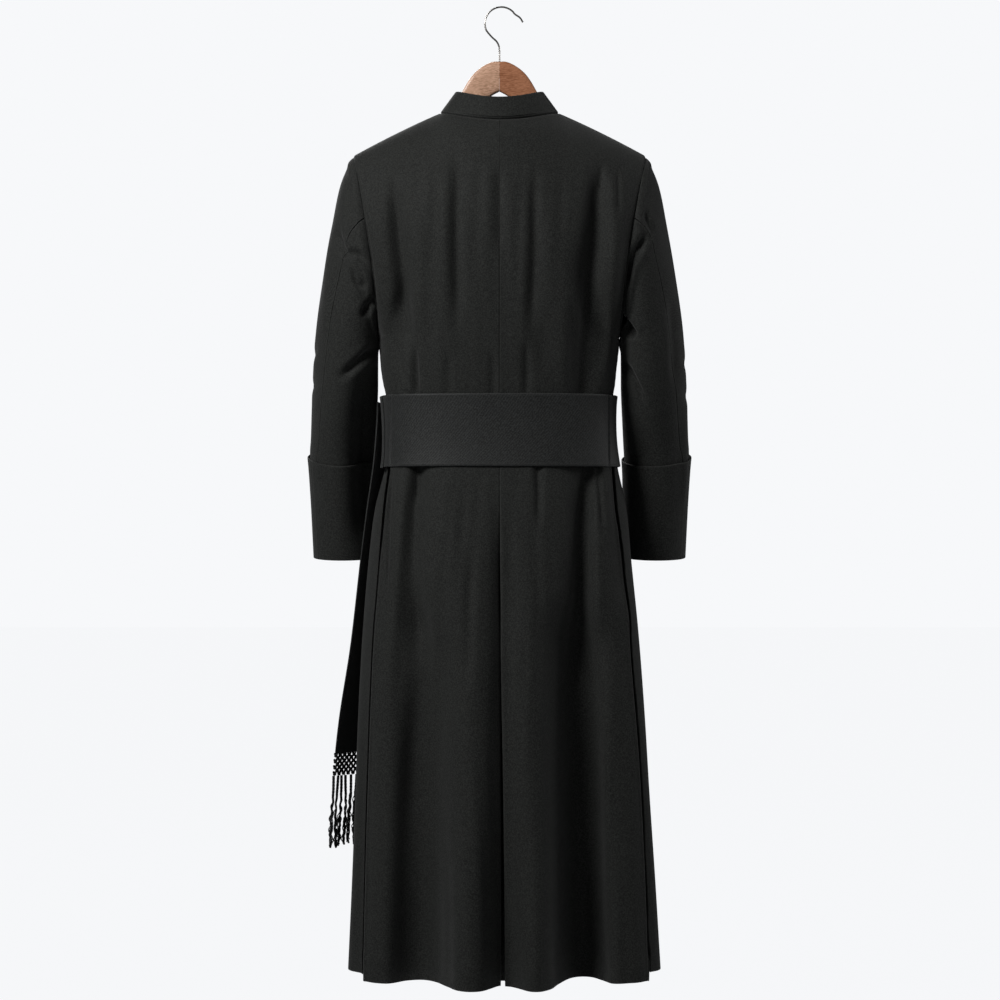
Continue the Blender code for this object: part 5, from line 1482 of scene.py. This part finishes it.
def buttonholes(front):
    """A worked slit at each button, running in from the left front's edge."""
    front.data.update()
    cloth = BVHTree.FromObject(front, bpy.context.evaluated_depsgraph_get())
    turns = np.linspace(0, 2 * pi, 25)
    loops = []
    for name in BUTTONS:
        low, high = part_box(name)
        path, middle = [], (low.z + high.z) / 2
        for turn in turns:
            place = Vector((HOLE_MIDDLE + HOLE_HALF * np.cos(turn) + 0.0003 * np.cos(9 * turn),
                            -1.0, middle + 0.0008 * np.sin(turn)))
            hit = cloth.ray_cast(place, Vector((0.0, 1.0, 0.0)))[0]
            path.append(hit - Vector((0.0, HOLE_RISE, 0.0)))
        loops.append(tube(path, HOLE_THREAD, 6))
    return joined("buttonhole_stitches", loops, yarn, "wool")


def hanger_half(side):
    knots = np.array([cut.across for cut in HANGER])
    place = spaced(70 if fine else 36, HANGER_TIP[1]) * knots[-1]
    top = through(knots, np.array([cut.top for cut in HANGER]), place)
    low = through(knots, np.array([cut.underside for cut in HANGER]), place)
    thin = ease((place - HANGER_TIP[0]) / (HANGER_TIP[1] - HANGER_TIP[0]))
    thick = HANGER_HALF_THICKNESS * mix(1.0, HANGER_TIP_SHARE, thin)
    turns = np.linspace(0, 2 * pi, WOOD_SIDES, endpoint=False) + pi / WOOD_SIDES
    x = SIDEWAYS[side] * np.maximum(place, SEAM / 2)[:, None]
    y = thick[:, None] * signed_power(np.cos(turns), 0.5)[None]
    z = ((top + low) / 2)[:, None] + ((top - low) / 2)[:, None] * signed_power(
        np.sin(turns), 0.62)[None]
    points = stack(x, y, z)
    faces, _ = ring_quads(len(place), WOOD_SIDES)
    if side == "left":
        faces = faces[:, ::-1]
    made = mesh_object("wood_" + side, points.reshape(-1, 3), faces, np.zeros((faces.size, 2)))
    cap_ends(made, WOOD_SIDES)
    # The left half takes the copy painted lighter, the right half the copy painted darker: painted
    # light and shade, not two woods.
    wood, slot = (light_wood, "light_wood") if side == "left" else (dark_wood, "dark_wood")
    return dress(made, wood, slot, "hanger_" + side)


def cap_ends(made, sides):
    """Closes a stack of rings with a face over its first ring and its last."""
    work = bmesh.new()
    work.from_mesh(made.data)
    work.verts.ensure_lookup_table()
    for loop in (work.verts[:sides], work.verts[-sides:]):
        work.faces.new(loop)
    bmesh.ops.recalc_face_normals(work, faces=work.faces)
    work.to_mesh(made.data)
    work.free()


def hook():
    """The wire hook: its tip, its round loop and its shank."""
    turns = np.radians(np.linspace(*HOOK_TURNS, 60))
    loop = np.array(HOOK_CENTRE) + HOOK_LOOP * np.stack(
        [np.cos(turns), 0 * turns, np.sin(turns)], axis=-1)
    path = np.concatenate([HOOK_TIP, loop[::4], HOOK_NECK])
    dense = through(np.arange(len(path)), path, np.linspace(0, len(path) - 1, 150))
    vertices, faces, uvs = tube(dense, HOOK_WIRE, WIRE_SIDES)
    made = mesh_object("hook_wire", vertices, faces, uvs.reshape(-1, 2))
    cap_ends(made, WIRE_SIDES)
    return dress(made, steel, "steel", "hanger_hook")


# A record for the flat size that a piece of cloth is cut to, without its turnings.
Cut = namedtuple("Cut", "piece width length area held on")


backs = {side: body_panel("back_" + side) for side in ("left", "right")}
seam_turnings(backs["left"], backs["right"])
fronts = {side: body_panel("front_" + side) for side in ("left", "right")}
buttonholes(fronts["left"])

grid = underlay_points(spaced(30 if fine else 14, 0.10), spaced(120 if fine else 60, 0.83))
dress(shell("cloth_back_pleat", grid, CLOTH, np.array([0.0, 1.0, 0.0])), wool, "wool",
      "back_pleat")
for side in ("left", "right"):
    side_pleat(side, backs[side])
    pleat_turnings("back_" + side, backs[side])
    pleat_turnings("front_" + side, fronts[side])
    armhole_turnings(side)
    sleeve_pieces(side)
    cuff(side)
collar()
fascia()
for which in FALLS:
    fall(which)
    net(which)
    fringe(which)
buttons()
hanger_half("left")
hanger_half("right")
hook()


# ------------------------------------------------- stage, light and camera

BACKDROP = (0.930, 0.939, 0.956, 1.0)
FLOOR = -1.75             # below the hem, so that the garment hangs free
FLOOR_HALF = 14.0


def floor_material():
    """Pale paint.  To the camera it glows like the backdrop, so that the floor
    runs into it, and a little of its own shading stays."""
    graph = Graph("pale_floor")
    speckle = graph.noise(3.0, 2.0)
    tone = graph.blend(speckle, (0.50, 0.51, 0.52, 1.0), (0.54, 0.55, 0.56, 1.0))
    graph.finish(Base_Color=tone, Roughness=0.9)
    glow = graph.tree.nodes.new("ShaderNodeEmission")
    glow.inputs[0].default_value = BACKDROP
    path = graph.tree.nodes.new("ShaderNodeLightPath")
    share = graph.sum("MULTIPLY", path.outputs["Is Camera Ray"], 0.985)
    both = graph.tree.nodes.new("ShaderNodeMixShader")
    output = graph.tree.nodes["Material Output"]
    graph.tree.links.new(share, both.inputs[0])
    graph.tree.links.new(graph.shader.outputs[0], both.inputs[1])
    graph.tree.links.new(glow.outputs[0], both.inputs[2])
    graph.tree.links.new(both.outputs[0], output.inputs[0])
    return graph.material


def floor():
    corners = [(x * FLOOR_HALF, y * FLOOR_HALF, FLOOR)
               for x, y in ((-1, -1), (1, -1), (1, 1), (-1, 1))]
    made = mesh_object("floor", corners, [(0, 1, 2, 3)])
    made.data.materials.append(floor_material())


def lamp(name, place, aim, size, power, colour=(1.0, 1.0, 1.0)):
    light = bpy.data.lights.new(name, "AREA")
    light.shape = "RECTANGLE"
    light.size, light.size_y = size
    light.energy = power
    light.color = colour
    made = bpy.data.objects.new(name, light)
    made.location = place
    direction = Vector(aim) - Vector(place)
    made.rotation_euler = direction.to_track_quat("-Z", "Y").to_euler()
    bpy.context.scene.collection.objects.link(made)


def world():
    """A pale backdrop behind everything, and a weaker light from all round."""
    made = bpy.data.worlds.new("studio")
    made.use_nodes = True
    tree = made.node_tree
    tree.nodes.clear()
    seen = tree.nodes.new("ShaderNodeBackground")
    seen.inputs[0].default_value = BACKDROP
    around = tree.nodes.new("ShaderNodeBackground")
    around.inputs[0].default_value = (0.95, 0.97, 1.0, 1.0)
    around.inputs[1].default_value = 0.035
    path = tree.nodes.new("ShaderNodeLightPath")
    chosen = tree.nodes.new("ShaderNodeMixShader")
    output = tree.nodes.new("ShaderNodeOutputWorld")
    tree.links.new(path.outputs["Is Camera Ray"], chosen.inputs[0])
    tree.links.new(around.outputs[0], chosen.inputs[1])
    tree.links.new(seen.outputs[0], chosen.inputs[2])
    tree.links.new(chosen.outputs[0], output.inputs[0])
    bpy.context.scene.world = made


def camera():
    lens = bpy.data.cameras.new("camera")
    lens.lens = 84.4
    lens.sensor_width = 36.0
    made = bpy.data.objects.new("camera", lens)
    made.location = (-0.0008, 3.75, -0.787)
    made.rotation_euler = (pi / 2, 0.0, pi)
    bpy.context.scene.collection.objects.link(made)
    bpy.context.scene.camera = made


floor()
world()
camera()
lamp("key", (1.5, 1.6, 0.85), (0.0, 0.05, -0.65), (0.8, 0.8), 50.0)
lamp("fill", (-2.2, 2.2, 0.7), (0.0, 0.0, -0.6), (1.6, 1.6), 4.0)
lamp("side", (-3.0, -0.5, 0.2), (0.0, 0.0, -0.8), (1.2, 1.6), 20.0)
lamp("front", (0.9, -3.0, 1.0), (0.0, 0.0, -0.8), (1.6, 1.6), 45.0)
bpy.context.scene.view_settings.view_transform = "Standard"
